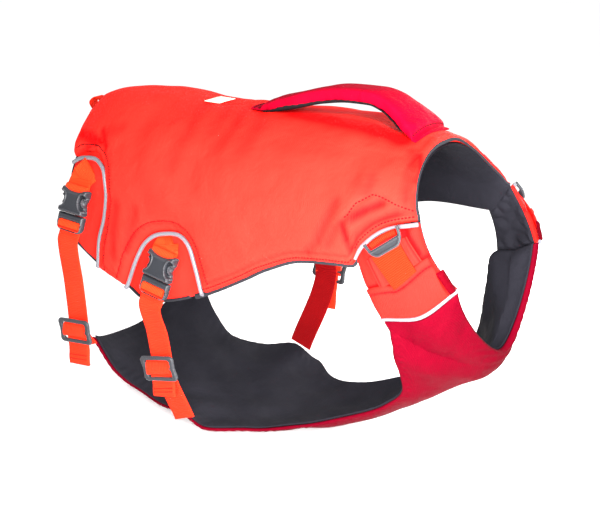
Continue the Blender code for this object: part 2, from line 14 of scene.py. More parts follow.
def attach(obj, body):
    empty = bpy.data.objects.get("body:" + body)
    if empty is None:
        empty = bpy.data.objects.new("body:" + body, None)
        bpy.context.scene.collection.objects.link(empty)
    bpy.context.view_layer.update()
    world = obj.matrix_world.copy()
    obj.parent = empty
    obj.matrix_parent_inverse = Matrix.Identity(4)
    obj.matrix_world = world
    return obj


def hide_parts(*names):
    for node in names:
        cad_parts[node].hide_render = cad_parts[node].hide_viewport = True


bl_info = {
    "name": "Dog life jacket",
    "version": (1, 0, 0),
    "blender": (4, 5, 0),
    "location": "View3D > Sidebar > Life Jacket",
    "description": "Builds the cloth, webbing, buckles and stitching of a dog life jacket",
    "category": "Add Mesh",
}

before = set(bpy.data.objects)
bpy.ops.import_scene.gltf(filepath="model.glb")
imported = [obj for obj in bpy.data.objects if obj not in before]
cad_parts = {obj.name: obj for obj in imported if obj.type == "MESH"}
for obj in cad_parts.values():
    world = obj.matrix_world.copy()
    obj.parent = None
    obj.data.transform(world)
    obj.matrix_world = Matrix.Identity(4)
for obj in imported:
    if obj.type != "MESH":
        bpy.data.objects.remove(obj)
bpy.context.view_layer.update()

MM = 0.001
# Gap between pieces, room under the cover, walls of lining, facings, padded back and its edges,
# and how far outside an arch's line its facing ends; then the walls of the other panels.
GAP, SEAM, LINING, FACING, FOAM, EDGE_WALL, PIPE = 0.3, 0.6, 1.2, 3.0, 14.5, 5.0, 2.0
BAND_WALL, CHEST_WALL, BELLY_WALL, BELLY_LINING, CHEST_PAD = 9.5, 7.5, 3.0, 1.5, 11.0
SIDES = (("r", -1.0), ("l", 1.0))
# First and last row of the back, the length of one side from its ridge to its edge, how far its
# lobes are puffed out, and how far inside an edge the seam runs.
REAR_ROW, NECK_ROW, HALF_GIRTH, LOBE_PUFF, EDGE_SEAM = -226.0, 150.0, 190.0, 4.5, 8.6
# A band's size along and down it, the wall at its edges, and how tall its flap is.
BAND_LONG, BAND_TALL, BAND_EDGE, FLAP_TALL = 68.0, 74.0, 3.0, 34.0
# Rows and columns at which a band's seams and grid are first worked out.
DENSE = 60
# Buckle halves, sliders and adjuster rings: lengths, widths and thicknesses.
SOCKET_LONG, SOCKET_THICK, PLUG_LONG, PLUG_THICK = 25.0, 10.4, 17.0, 7.8
BUCKLE_LONG = SOCKET_LONG + GAP + PLUG_LONG
SLIDER_WIDE, SLIDER_TALL, SLIDER_THICK, SLIDER_STAND = 39.5, 25.0, 3.4, 6.0
RING_WIDE, RING_THICK = 37.5, 3.0
# Webbing round a buckle's bar: half its width and its run; ends of an adjuster's bar on a band.
TURN_HALF, TURN_RUN, BAR_REAR, BAR_FRONT = 12.2, 10.6, 0.345, 0.712
# How far a buckle leans forward and outward, a sheet's least size in metres, rings of the grip.
LEAN, LEAST_FLAT, GRIP_ROWS = (0.145, 0.19), 0.0101, 240
# The arches' stitches lie this far outside their piping.
STITCH_AWAY = PIPE + GAP + 10.5

# The back from rear to neck: ridge, half width, drop and squareness of its crown, lower edges, how
# late its sides swing to them, and how far the left side sags.
BACK_COLUMNS = ("x_top", "z_top", "half", "drop", "square", "y_edge", "x_right", "z_right",
                "x_left", "z_left", "lean", "slump")
BACK = (
    (-225, -13, 70, 51, 1.22, 75, -203, -128, -203, -128, 0.6, 0),
    (-211, -6, 73, 54, 1.36, 77, -187, -136, -187, -136, 0.6, 0),
    (-190, -2, 78, 57, 1.62, 80, -165, -145, -165, -145, 0.7, 0),
    (-150, -3, 83, 54, 2.00, 84, -133, -154, -133, -154, 0.8, 0),
    (-122, -5, 85, 52, 2.00, 87, -112, -161, -112, -161, 1.0, 0),
    (-95, -6, 87, 51, 2.05, 89, -89, -158, -89, -158, 1.0, 0),
    (-42, -5, 89, 52, 2.10, 91, -38, -140, -38, -140, 1.0, 0),
    (5, -3, 91, 53, 2.10, 92, 8, -116, 8, -114, 1.0, 0),
    (32, -2, 91, 54, 2.10, 93, 33, -102, 33, -98, 1.0, 0),
    (65, -1, 90, 54, 2.05, 92, 66, -89, 67, -82, 1.2, 0),
    (90, 0, 88, 53, 1.95, 90, 94, -86, 94, -77, 1.5, 3),
    (104, 0, 86, 50, 1.85, 88, 114, -85, 118, -76, 2.0, 6),
    (117, 0, 84, 46, 1.75, 86, 125, -66, 149, -76, 2.4, 10),
    (133, 1, 81, 41, 1.68, 83, 144, -50, 161, -64, 2.2, 13),
    (150, 2, 78, 37, 1.66, 80, 171, -41, 172, -48, 1.6, 14),
)
# Chest and belly from rear to neck: middle and edges, how much of a V each row is, and half the
# angle of its arc.
BELLY_COLUMNS = ("row", "x_mid", "z_mid", "y_edge", "x_right", "z_right", "x_left", "z_left",
                 "vee", "bow")
BELLY = (
    (0, -206, -238, 88, -181, -215, -192, -195, 0.28, 55),
    (1, -180, -248, 82, -160, -249, -165, -240, 0.22, 55),
    (2, -146, -257, 79, -138, -262, -138, -262, 0.20, 55),
    (3, -106, -266, 87, -104, -266, -104, -266, 0.20, 55),
    (4, -68, -274, 97, -72, -261, -72, -261, 0.20, 55),
    (5, -42, -279, 96, -44, -272, -44, -272, 0.20, 55),
    (6, -6, -282, 71, -8, -274, -8, -274, 0.20, 58),
    (7, 36, -277, 57, 36, -264, 36, -264, 0.20, 60),
    (8, 84, -261, 54, 80, -246, 80, -246, 0.22, 66),
    (9, 126, -238, 54, 124, -223, 130, -222, 0.25, 72),
    (10, 160, -216, 58, 145, -201, 151, -200, 0.35, 80),
    (11, 182, -200, 68, 148, -178, 156, -176, 0.45, 85),
    (12, 194, -189, 80, 149, -153, 158, -148, 0.50, 85),
    (13, 202, -181, 86, 143, -128, 159, -114, 0.52, 85),
    (14, 206, -175, 82, 174, -121, 182, -106, 0.54, 85),
    (15, 208, -168, 69, 200, -95, 203, -93, 0.48, 85),
)
# Lines of the arches, seen from the side: x and z.
REAR_ARCH = ((-246, -72), (-214, -52), (-197, -43), (-174, -39), (-158, -47), (-155, -66),
             (-159, -90), (-169, -119), (-172, -150), (-174, -172))
FRONT_ARCH = ((-156, -196), (-131, -152), (-117, -122), (-105, -104), (-88, -93), (-66, -89),
              (-54, -96), (-47, -112), (-38, -140), (-28, -176))
# The grip along its underside; hug says how far its sides bend down to the back.
GRIP_COLUMNS = ("x", "z_low", "half", "thick", "hug")
GRIP = (
    (-46, 11.7, 11.5, 2.3, 0.9), (-36, 11.7, 12.4, 2.4, 0.9), (-33.5, 11.8, 12.8, 5.2, 0.85),
    (-29, 12.1, 13.2, 8.0, 0.8), (-22, 13.0, 13.8, 10.0, 0.65), (-12, 15.0, 14.2, 11.6, 0.4),
    (2, 18.6, 14.4, 12.4, 0.2), (31, 26.4, 14.0, 12.8, 0.0), (59, 30.5, 14.5, 13.0, 0.0),
    (79, 31.0, 15.6, 13.0, 0.0), (94, 27.8, 18.0, 12.9, 0.1), (106, 22.0, 21.0, 12.8, 0.3),
    (117, 16.6, 25.0, 12.0, 0.7), (125, 13.6, 27.2, 10.6, 0.9), (129.5, 12.6, 28.2, 8.0, 1.0),
    (131.2, 12.4, 28.6, 2.9, 1.0), (135.6, 12.0, 29.4, 2.5, 1.0),
)
# Side straps, with y mirrored by their side: the seam (x, z), both ends of the buckle, the slider,
# the lower end, and how long the tail is.
STRAP_COLUMNS = ("name", "side", "sewn", "top", "bottom", "slider", "end", "tail")
STRAPS = (
    ("rear_r", -1, (-180, -52), (-188, 91, -67), (-200, 97, -119), (-189, 100, -206),
     (-182, 95, -222), 19),
    ("rear_l", 1, (-180, -52), (-188, 91, -67), (-200, 97, -119), (-198, 99, -160),
     (-191, 95, -203), 19),
    ("front_r", -1, (-74, -102), (-76, 102, -107), (-94, 107, -159), (-79, 108, -216),
     (-60, 102, -265), 12),
    ("front_l", 1, (-80, -100), (-77, 102, -107), (-51, 108, -155), (-41, 109, -177),
     (-68, 102, -262), 26),
)
# Row at which each band begins on the back, and how far its neck side is drawn in.
BAND_FROM = {"r": 110.0, "l": 117.0}
BAND_WAIST = 0.085

# Edge of the flap on each band, from its rear edge to its neck edge, and along its front side.
FLAP_EDGE_COLUMNS = ("along", "down")
FLAP_EDGE = ((0.0, 0.49), (0.06, 0.50), (0.20, 0.515), (0.36, 0.53), (0.41, 0.56), (0.58, 0.52),
             (0.74, 0.475), (0.80, 0.455), (0.92, 0.425), (1.0, 0.42))
FLAP_FRONT_COLUMNS = ("down", "along")
FLAP_FRONT = ((0.42, 0.915), (0.60, 0.915), (0.68, 0.895), (0.80, 0.885), (1.0, 0.885))
# Corners of the sewn tab and webbing: (along, down) at the top and low ends of both sides.
ADJUSTER_COLUMNS = ("name", "rear_top", "front_top", "front_low", "rear_low", "lift", "thick")
ADJUSTER = (
    ("adjuster_tab", (0.215, 0.19), (0.812, 0.12), (0.845, 0.43), (0.240, 0.56), 0.8, 1.5),
    ("adjuster_patch", (0.300, 0.19), (0.706, 0.15), (0.735, 0.51), (0.410, 0.60), 2.5, 1.8),
)

# Soft lines pressed into the back: row and turn at both ends, width, depth and strength of
# painted shade; mirrored on the left.  Rows of no depth are painted shade only.
BACK_FOLDS_COLUMNS = ("x0", "t0", "x1", "t1", "wide", "deep", "tone")
BACK_FOLDS = (
    (133, -0.843, 123, -0.825, 3.5, 1.8, 0.7), (123, -0.825, 112, -0.775, 3.5, 2.0, 0.8),
    (112, -0.775, 102, -0.748, 3.0, 1.4, 0.5), (103, -0.750, 106, -0.848, 3.0, 1.8, 0.8),
    (106, -0.848, 109, -0.935, 3.0, 1.6, 0.6), (141, -0.912, 126, -0.917, 4.0, 1.4, 0.4),
    (126, -0.917, 115, -0.915, 4.0, 1.4, 0.4), (115, -0.915, 112, -0.968, 3.0, 1.2, 0.4),
    (97, -0.672, 91, -0.755, 5.0, 1.2, 0.4), (91, -0.755, 85, -0.860, 5.0, 1.3, 0.4),
    (85, -0.860, 76, -0.930, 4.0, 1.0, 0.3), (98, -0.772, 92, -0.882, 4.0, 1.0, 0.3),
    (145, -0.400, 150, -0.568, 2.8, 1.7, 0.7), (150, -0.568, 149, -0.700, 3.0, 1.4, 0.5),
    (138, -0.355, 146, -0.545, 5.0, 1.5, 0.4), (146, -0.545, 147, -0.698, 5.0, 1.2, 0.3),
    (147, -0.698, 146, -0.833, 5.0, 1.0, 0.3), (110, -0.595, 122, -0.748, 7.0, 1.0, 0.2),
    (123, -0.652, 123, -0.738, 5.0, 0.9, 0.3), (149, -0.810, 149, -0.917, 5.0, 1.0, 0.3),
    (-58, 0.035, -36, -0.232, 6.0, 1.2, 0.4), (-36, -0.232, -35, -0.385, 9.0, 1.0, 0.2),
    (-35, -0.385, -48, -0.485, 10.0, 0.8, 0.1), (-34, -0.052, -9, -0.275, 7.0, 1.1, 0.3),
    (-9, -0.275, -5, -0.402, 9.0, 0.9, 0.2), (-99, -0.032, -76, -0.280, 6.0, 1.2, 0.3),
    (-76, -0.280, -76, -0.432, 8.0, 1.0, 0.2), (-80, 0.025, -58, -0.180, 6.0, 1.2, 0.3),
    (-58, -0.180, -51, -0.290, 8.0, 0.8, 0.2), (-171, -0.353, -155, -0.323, 8.0, 1.2, 0.3),
    (-216, -0.458, -199, -0.410, 2.2, 2.3, 1.0), (-199, -0.410, -172, -0.387, 1.7, 2.2, 1.0),
    (-213, -0.348, -193, -0.370, 4.5, 2.0, 1.0), (-193, -0.370, -172, -0.387, 2.0, 1.8, 0.8),
    (-176, -0.338, -164, -0.402, 3.0, 1.8, 0.8), (-200, -0.372, -186, -0.384, 4.5, 1.0, 0.9),
    (-115, -0.593, -125, -0.710, 6.0, 1.3, 0.3), (-125, -0.710, -135, -0.792, 5.0, 1.3, 0.3),
    (-144, -0.605, -153, -0.758, 6.0, 1.3, 0.4), (-153, -0.758, -160, -0.860, 5.0, 1.3, 0.4),
    # Painted shadow of the grip along the ridge: no depth, only shade.
    (-37, 0.032, 9, -0.070, 8.0, 0.0, 0.9), (9, -0.070, 58, -0.147, 12.0, 0.0, 1.1),
    (58, -0.147, 100, -0.180, 13.0, 0.0, 1.1), (100, -0.180, 124, -0.250, 10.0, 0.0, 1.0),
    (20, -0.360, 62, -0.600, 15.0, 0.9, 0.0), (-130, -0.300, -96, -0.560, 14.0, 0.9, 0.1),
)
# The quilting line over each lobe: row and turn of its corners.
CHEVRON_COLUMNS = ("x", "t")
CHEVRON = ((105, 0.725), (113, 0.748), (121, 0.768), (127, 0.774), (133, 0.812), (141, 0.870),
           (149, 0.915))
# Folds across the chest and belly: row and place across at both ends, width and depth.
BELLY_FOLDS_COLUMNS = ("row0", "u0", "row1", "u1", "wide", "deep")
BELLY_FOLDS = (
    (14.3, -0.86, 12.6, -0.62, 5.0, 1.6), (13.6, -0.90, 11.8, -0.66, 6.0, 1.5),
    (14.8, -0.62, 13.2, -0.42, 6.0, 1.4), (13.0, -0.50, 11.2, -0.20, 8.0, 1.4),
    (12.2, -0.88, 10.6, -0.50, 6.0, 1.3), (14.4, 0.86, 12.8, 0.60, 5.0, 1.5),
    (13.4, 0.80, 11.6, 0.50, 6.0, 1.4), (11.0, -0.6, 9.2, -0.1, 7.0, 1.2),
    (9.8, -0.9, 8.4, 0.1, 7.0, 1.0), (10.4, 0.7, 8.8, 0.1, 7.0, 1.1),
    (7.0, -0.8, 6.2, 0.3, 8.0, 1.0), (5.4, 0.8, 4.2, -0.3, 8.0, 1.0),
    (2.4, -0.7, 1.6, 0.5, 8.0, 1.0), (3.6, -0.9, 2.8, 0.6, 9.0, 0.8),
)
# Lamps: place and side of the square in metres, and power in watts.
LIGHT_COLUMNS = ("name", "place", "size", "power")
LIGHTS = (
    ("key", (0.33, -0.52, -0.02), 0.30, 16.0),
    ("front", (0.52, -0.30, 0.28), 0.25, 12.0),
    ("far_key", (0.12, 0.62, 0.02), 0.40, 9.0),
)
LIGHTS_AIM, FLOOR_Z, FLOOR_HALF = (0, 0, -0.12), -0.2862, 6.0
# The camera: turn and rise in degrees, distance and target in metres, lens over sensor width.
CAMERA_TURN, CAMERA_RISE, CAMERA_AWAY, CAMERA_AIM = 34.0, 18.5, 1.3, (0, 0, -0.125)
CAMERA_LENS, SENSOR = 1398 / 600, 36


# ---- lines and grids


def unit(vectors):
    """Vectors divided by their own length."""
    vectors = np.asarray(vectors, float)
    return vectors / np.maximum(np.linalg.norm(vectors, axis=-1, keepdims=True), 1e-9)


def table_at(rows, at):
    """Columns after the first, eased between the rows of a table by monotone cubics."""
    rows = np.asarray(rows, float)
    key, cols = rows[:, 0], rows[:, 1:]
    step = np.diff(key)[:, None]
    slope = np.diff(cols, axis=0) / step
    tangent = np.zeros_like(cols)
    tangent[0], tangent[-1] = slope[0], slope[-1]
    before, after = slope[:-1], slope[1:]
    same = before * after > 0
    tangent[1:-1] = np.where(same, 2 * before * after / np.where(same, before + after, 1.0), 0.0)
    at = np.asarray(at, float)
    i = np.clip(np.searchsorted(key, at, side="right") - 1, 0, len(key) - 2)
    h = step[i]
    t = ((at - key[i]) / (key[i + 1] - key[i]))[:, None]
    return ((2 * t**3 - 3 * t**2 + 1) * cols[i] + (t**3 - 2 * t**2 + t) * h * tangent[i]
            + (3 * t**2 - 2 * t**3) * cols[i + 1] + (t**3 - t**2) * h * tangent[i + 1])


def run_of(points):
    """Distance along a line of points."""
    return np.r_[0, np.cumsum(np.linalg.norm(np.diff(points, axis=0), axis=1))]


def evenly(points, count, *others):
    """The same line with its points evenly spaced; other values per point follow."""
    run = run_of(points)
    want = np.linspace(0, run[-1], count)
    made = []
    for values in (points,) + others:
        values = np.asarray(values, float)
        made.append(np.stack([np.interp(want, run, values[:, k])
                              for k in range(values.shape[1])], 1))
    return made[0] if not others else made


def smooth_line(points, count):
    """A line eased through its points by monotone cubics and spaced evenly."""
    points = np.asarray(points, float)
    fine = table_at(np.c_[run_of(points), points], np.linspace(0, run_of(points)[-1], 400))
    return evenly(fine, count)


def offset_line(line, distance):
    """A flat line moved to its left side by a distance."""
    ahead = unit(np.gradient(line, axis=0))
    return line + distance * np.stack([-ahead[:, 1], ahead[:, 0]], 1)


def normals(grid, flip=False):
    """Outward direction at every point: the cross product of the two ways along the grid."""
    cross = unit(np.cross(np.gradient(grid, axis=0), np.gradient(grid, axis=1)))
    return -cross if flip else cross


def eased(part, round_off=0.22):
    """Part of the way from 0 to 1, its start rounded off by a hyperbola."""
    reach = math.hypot(1, round_off) - round_off
    return (np.hypot(np.abs(part), round_off) - round_off) / reach


def soft(value):
    """A step from 0 to 1 with flat ends: 3 v squared less 2 v cubed."""
    value = np.clip(value, 0, 1)
    return value * value * (3 - 2 * value)


def bell(value, wide):
    """A bell curve of height 1: e to the power of minus the square of value over width."""
    return np.exp(-(value / wide) ** 2)


def back_grid(xs, ts):
    """Inner face of the back: a superellipse crown over each row, then a flank to each edge."""
    ts = np.asarray(ts, float)
    grid = np.empty((len(xs), len(ts), 3))
    turn = np.linspace(0, math.pi / 2, 60)
    fall = np.linspace(0, 1, 30)[1:]
    for i, row in enumerate(table_at(BACK, xs)):
        z_top, half, drop, square, y_edge, x_right, z_right, x_left, z_left, lean, slump = row
        y = np.r_[half * np.sin(turn), half + (y_edge - half) * fall**1.6]
        crown = z_top - drop * (1 - (1 - eased(np.sin(turn)) ** square).clip(0, 1) ** (1 / square))
        for side, x_edge, z_edge in ((ts < 0, x_right, z_right), (ts >= 0, x_left, z_left)):
            z = np.r_[crown, crown[-1] + (z_edge - crown[-1]) * fall]
            run = np.r_[0, np.cumsum(np.hypot(np.diff(y), np.diff(z)))]
            part = np.abs(ts[side])
            grid[i, side, 0] = xs[i] + (x_edge - xs[i]) * eased(part) ** lean
            grid[i, side, 1] = np.sign(ts[side]) * np.interp(part, run / run[-1], y)
            grid[i, side, 2] = np.interp(part, run / run[-1], z)
        grid[i, :, 2] -= np.where(ts > 0, slump, 0) * np.sin(math.pi * ts**2)
    return grid


def belly_grid(rows, us):
    """Face between belly lining and panel: each row an arc hung between its two edges."""
    us = np.asarray(us, float)
    x_mid, z_mid, y_edge, x_r, z_r, x_l, z_l, vee, bow = table_at(BELLY, rows).T[:, :, None]
    bend = np.radians(bow)
    part = np.sin(np.abs(us) * bend) / np.sin(bend)
    rise = (1 - np.cos(np.abs(us) * bend)) / (1 - np.cos(bend))
    x_edge, z_edge = np.where(us < 0, x_r, x_l), np.where(us < 0, z_r, z_l)
    return np.stack([x_mid + (x_edge - x_mid) * part**2, np.sign(us) * y_edge * part,
                     z_mid + (z_edge - z_mid) * (vee * eased(part) + (1 - vee) * rise)], 2)


def shoulder_grid(upper, lower, side, us, vs, tuck=0.0):
    """Inner face of a band: straight from the lobe's edge to the chest's, bulged by a sine."""
    top, low = (np.stack([np.interp(us * (DENSE - 1), np.arange(DENSE), line[:, k])
                          for k in range(3)], 1)
                for line in (smooth_line(upper, DENSE), smooth_line(lower, DENSE)))
    drop = unit(low - top)
    top = (top + drop * (1.2 - tuck))[:, None]
    low = (low - drop * (1.6 - tuck))[:, None]
    grid = top * (1 - vs[:, None]) + low * vs[:, None]
    belly = np.sin(math.pi * vs[None].clip(0, 1))
    grid[..., 0] += 3 * belly * us[:, None]
    grid[..., 1] += side * 4 * belly
    return grid


def shoulder_wall(us, vs):
    """Wall of a band: padded in the middle, 3 mm along its edges, joined by a quarter ellipse."""
    near = np.minimum((np.minimum(us, 1 - us) / 0.28)[:, None],
                      (np.minimum(vs, 1 - vs) / 0.30)[None, :]).clip(0, 1)
    return BAND_EDGE + (BAND_WALL - BAND_EDGE) * np.sqrt(1 - (1 - near) ** 2)


def spaced(low, high, step, length, rim=(0.35, 1.0, 1.9, 3.0)):
    """Places from low to high over a length in mm: even steps with finer ones at both rims."""
    rim = np.asarray(rim) * (high - low) / length
    inner = np.linspace(low + rim[-1] * 1.5, high - rim[-1] * 1.5,
                        max(2, int(round(length / step))))
    return np.r_[low, low + rim, inner, (high - rim)[::-1], high]


def sample(field, i, j):
    """Values of a grid between its points, linear both ways."""
    rows, cols = field.shape[:2]
    i, j = np.clip(i, 0, rows - 1), np.clip(j, 0, cols - 1)
    a, b = np.minimum(i.astype(int), rows - 2), np.minimum(j.astype(int), cols - 2)
    u, v = i - a, j - b
    if field.ndim == 3:
        u, v = u[..., None], v[..., None]
    return ((field[a, b] * (1 - u) + field[a + 1, b] * u) * (1 - v)
            + (field[a, b + 1] * (1 - u) + field[a + 1, b + 1] * u) * v)


def step_at(value, places):
    """How many steps along rising places a value is, linear between them."""
    return np.interp(value, places, np.arange(len(places)))


def polygon_distance(x, z, outline):
    """Distance in the plane to a closed outline, negative inside it."""
    away = np.full(x.shape, np.inf)
    inside = np.zeros(x.shape, bool)
    for (ax, az), (bx, bz) in zip(outline, np.roll(outline, -1, axis=0)):
        dx, dz = bx - ax, bz - az
        part = (((x - ax) * dx + (z - az) * dz) / max(dx * dx + dz * dz, 1e-9)).clip(0, 1)
        away = np.minimum(away, np.hypot(x - ax - dx * part, z - az - dz * part))
        if dz:
            inside ^= ((az > z) != (bz > z)) & (x < ax + dx * (z - az) / dz)
    return np.where(inside, -away, away)


def undulate(points, seed, period, deep):
    """Slow ripples: a sum of eight sine waves in seeded directions, near one period."""
    rng = np.random.default_rng(seed)
    total = np.zeros(points.shape[:-1])
    for way, shift, stretch in zip(unit(rng.normal(size=(8, 3))), rng.uniform(0, 6.28, 8),
                                   rng.uniform(0.75, 1.5, 8)):
        total += np.sin(points @ way * (2 * math.pi / (period * stretch)) + shift)
    return total * deep / 3.0


def creases(points, lines, wide, deep):
    """Troughs along 3-D segments: depth times a bell curve of the distance, faded at the ends."""
    total = np.zeros(points.shape[:-1])
    for (a, b), w, d in zip(lines, wide, deep):
        way = b - a
        part = ((points - a) @ way) / max(float(way @ way), 1e-9)
        held = part.clip(0, 1)
        away = np.linalg.norm(points - a - held[..., None] * way, axis=-1)
        total = np.maximum(total, d * bell(away, w))
    return total


# ---- mesh making


def collection():
    """The collection that holds the dressed pieces."""
    made = bpy.data.collections.get("life_jacket_cloth")
    if made is None:
        made = bpy.data.collections.new("life_jacket_cloth")
        bpy.context.scene.collection.children.link(made)
    return made


def make_piece(name, verts, faces, uv, material, sharp=50.0, tone=None):
    """A mesh from arrays: verts and uv in mm, faces as index arrays, painted shade from 0 to 1."""
    verts = np.asarray(verts, float).reshape(-1, 3)
    faces = [np.asarray(f, int) for f in faces if len(f)]
    loops = np.concatenate([f.ravel() for f in faces])
    sizes = np.concatenate([np.full(len(f), f.shape[1]) for f in faces])
    mesh = bpy.data.meshes.new(name)
    mesh.vertices.add(len(verts))
    mesh.vertices.foreach_set("co", (verts * MM).ravel())
    mesh.loops.add(len(loops))
    mesh.loops.foreach_set("vertex_index", loops)
    mesh.polygons.add(len(sizes))
    mesh.polygons.foreach_set("loop_start", np.r_[0, np.cumsum(sizes)[:-1]])
    layer = mesh.uv_layers.new(name="cloth")
    mesh.update(calc_edges=True)
    layer.data.foreach_set("uv", np.asarray(uv, float).reshape(-1, 2)[loops].ravel())
    # Painted shade: a point attribute that the materials read to darken the colour.
    if tone is not None:
        deep = mesh.attributes.new("tone", "FLOAT", "POINT")
        deep.data.foreach_set("value", np.asarray(tone, float).ravel().clip(0, 1))
    mesh.validate()
    mesh.shade_smooth()
    mesh.set_sharp_from_angle(angle=math.radians(sharp))
    obj = bpy.data.objects.new(name, mesh)
    obj.data.materials.append(material)
    collection().objects.link(obj)
    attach(obj, "root")
    return obj


def lengths(grid):
    """Distance across and along a grid from its middle column and first row, in mm."""
    across = np.linalg.norm(np.diff(grid, axis=1), axis=2).cumsum(1)
    across = np.c_[np.zeros(len(grid)), across]
    across -= across[:, across.shape[1] // 2][:, None]
    along = np.linalg.norm(np.diff(grid, axis=0), axis=2).cumsum(0)
    along = np.r_[np.zeros((1, grid.shape[1])), along]
    return np.stack([across, along], 2)


def onto_zero_line(distance):
    """Moves, in grid steps, that bring places within half a step of a distance's zero line on it.

    A move is minus the distance times its gradient over the gradient's square; it comes with
    the places moved and those kept, which are the moved ones and all inside.
    """
    di, dj = np.gradient(distance)
    steep = np.maximum(di**2 + dj**2, 1e-9)
    move_i, move_j = -distance * di / steep, -distance * dj / steep
    near = np.hypot(move_i, move_j) < 0.55
    return np.where(near, move_i, 0), np.where(near, move_j, 0), near, near | (distance > 0)


def shell(name, top, low, kept, uv, material, flip=False, sharp=50.0, tone=None):
    """A closed shell of two faces over the kept places of a grid.

    Both faces meet where they have the same place, and are joined by a wall elsewhere.
    """
    total = kept.size
    index = np.arange(total).reshape(kept.shape)
    corners = np.stack([index[:-1, :-1], index[1:, :-1], index[1:, 1:], index[:-1, 1:]],
                       2).reshape(-1, 4)
    has = kept.ravel()[corners]
    part = has.sum(1) == 3
    quads = corners[has.all(1)]
    tris = corners[part][has[part]].reshape(-1, 3)
    if flip:
        quads, tris = quads[:, ::-1], tris[:, ::-1]
    edges = np.concatenate([np.stack([f, np.roll(f, -1, axis=1)], 2).reshape(-1, 2)
                            for f in (quads, tris)])
    forward, backward = edges[:, 0] * total + edges[:, 1], edges[:, 1] * total + edges[:, 0]
    a, b = edges[~np.isin(forward, backward)].T
    meet = np.linalg.norm(top - low, axis=2).ravel() < 1e-3
    under = np.where(meet, index.ravel(), index.ravel() + total)
    wall = np.stack([b, a, under[a], under[b]], 1)
    used = [quads, tris, under[quads][:, ::-1], under[tris][:, ::-1],
            wall[~meet[a] & ~meet[b]], wall[meet[a] & ~meet[b]][:, [0, 1, 3]],
            wall[~meet[a] & meet[b]][:, [0, 1, 2]]]
    live = np.zeros(2 * total, bool)
    for faces in used:
        live[faces.ravel()] = True
    renumber = np.cumsum(live) - 1
    verts = np.concatenate([top.reshape(-1, 3), low.reshape(-1, 3)])[live]
    uv = np.concatenate([uv.reshape(-1, 2)] * 2)[live]
    tone = None if tone is None else np.concatenate([tone.ravel()] * 2)[live]
    return make_piece(name, verts, [renumber[f] for f in used], uv, material, sharp, tone)


def cloth_shell(name, top, bottom, material, distance=None, flip=False, uv=None, tone=None):
    """A closed sheet from its outer and inner face, trimmed where a distance falls below 0."""
    rows, cols = top.shape[:2]
    kept = np.ones((rows, cols), bool)
    uv = lengths(top) if uv is None else uv
    if distance is not None:
        move_i, move_j, _, kept = onto_zero_line(distance)
        i, j = np.arange(rows)[:, None] + move_i, np.arange(cols)[None] + move_j
        top, bottom, uv = (sample(field, i, j) for field in (top, bottom, uv))
        tone = None if tone is None else sample(tone, i, j)
    return shell(name, top, bottom, kept, uv, material, flip, tone=tone)


def rounded_wall(start, out, wall, border, reach=2.6):
    """Outer and inner face of a padded sheet, drawn together over its last reach of border."""
    near = (border / reach).clip(0, 1)
    full = np.sqrt(1 - (1 - near) ** 2)
    low = wall * (1 - full) / 2
    return start + out * (wall - low)[..., None], start + out * low[..., None]


def border_distance(grid):
    """Distance from each grid point to the nearest of the four borders, along its row or line."""
    run = lengths(grid)
    across = run[..., 0] - run[:, :1, 0]
    along = run[..., 1]
    return np.minimum(np.minimum(across, across[:, -1:] - across),
                      np.minimum(along, along[-1:] - along))


def cord_frames(line, up):
    """Way across and way up at each point of a line, square to it and to each other."""
    ahead = unit(np.gradient(line, axis=0))
    up = np.broadcast_to(np.asarray(up, float), line.shape)
    up = unit(up - ahead * np.sum(up * ahead, axis=1, keepdims=True))
    return np.cross(ahead, up), up


def tube(name, rings, uv, material, tone=None, flip=False):
    """Rings joined into a closed tube, with a fan at each end to the middle of its ring."""
    count, sides = rings.shape[:2]
    total = count * sides
    index = np.arange(total).reshape(count, sides)
    after = np.roll(index, -1, axis=1)
    faces = [np.stack([index[:-1], index[1:], after[1:], after[:-1]], 2).reshape(-1, 4),
             np.stack([index[0], after[0], np.full(sides, total)], 1),
             np.stack([after[-1], index[-1], np.full(sides, total + 1)], 1)]
    verts, uv = (np.r_[field.reshape(total, -1), field[:1].mean(1), field[-1:].mean(1)]
                 for field in (rings, uv))
    tone = None if tone is None else np.r_[tone.ravel(), 0, 0]
    return make_piece(name, verts, [f[:, ::-1] if flip else f for f in faces], uv, material,
                      tone=tone)


def carried(name, line, up, profile, material, grow=None, shaded=None):
    """A closed profile (across, up) carried along a line and scaled by grow.

    Its side that faces away from shaded gets painted shade.
    """
    across, up = cord_frames(line, up)
    size = np.ones(len(line)) if grow is None else grow
    points = (line[:, None] + across[:, None] * (profile[None, :, :1] * size[:, None, None])
              + up[:, None] * (profile[None, :, 1:] * size[:, None, None]))
    uv = np.stack(np.broadcast_arrays(profile[None, :, 0], run_of(line)[:, None]), 2)
    tone = None
    if shaded is not None:
        away = ((points - line[:, None]) * up[:, None]).sum(2) * np.sign((up @ shaded).mean())
        tone = (away < -0.05).astype(float)
    return tube(name, points, uv, material, tone, flip=True)


def round_profile(wide, high, sides=12, square=2.0):
    """A superellipse outline, anticlockwise, wide across and high."""
    turn = np.linspace(0, 2 * math.pi, sides, endpoint=False)
    c, s = np.cos(turn), np.sin(turn)
    return np.stack([np.sign(c) * np.abs(c) ** (2 / square) * wide / 2,
                     np.sign(s) * np.abs(s) ** (2 / square) * high / 2], 1)


def strap_profile(wide, thick, selvedge=0.18):
    """A webbing section: flat faces that swell slightly by both edges, edges half round."""
    half, r = wide / 2, thick / 2
    turn = np.linspace(-math.pi / 2, math.pi / 2, 7)
    edge = np.stack([half - r + r * np.cos(turn), r * np.sin(turn)], 1)
    x = np.linspace(half - r, -(half - r), 12)[1:-1]
    swell = selvedge * bell(half - r - np.abs(x), 1.3)
    top = np.stack([x, r + swell], 1)
    return np.r_[edge, top, -edge, -top]


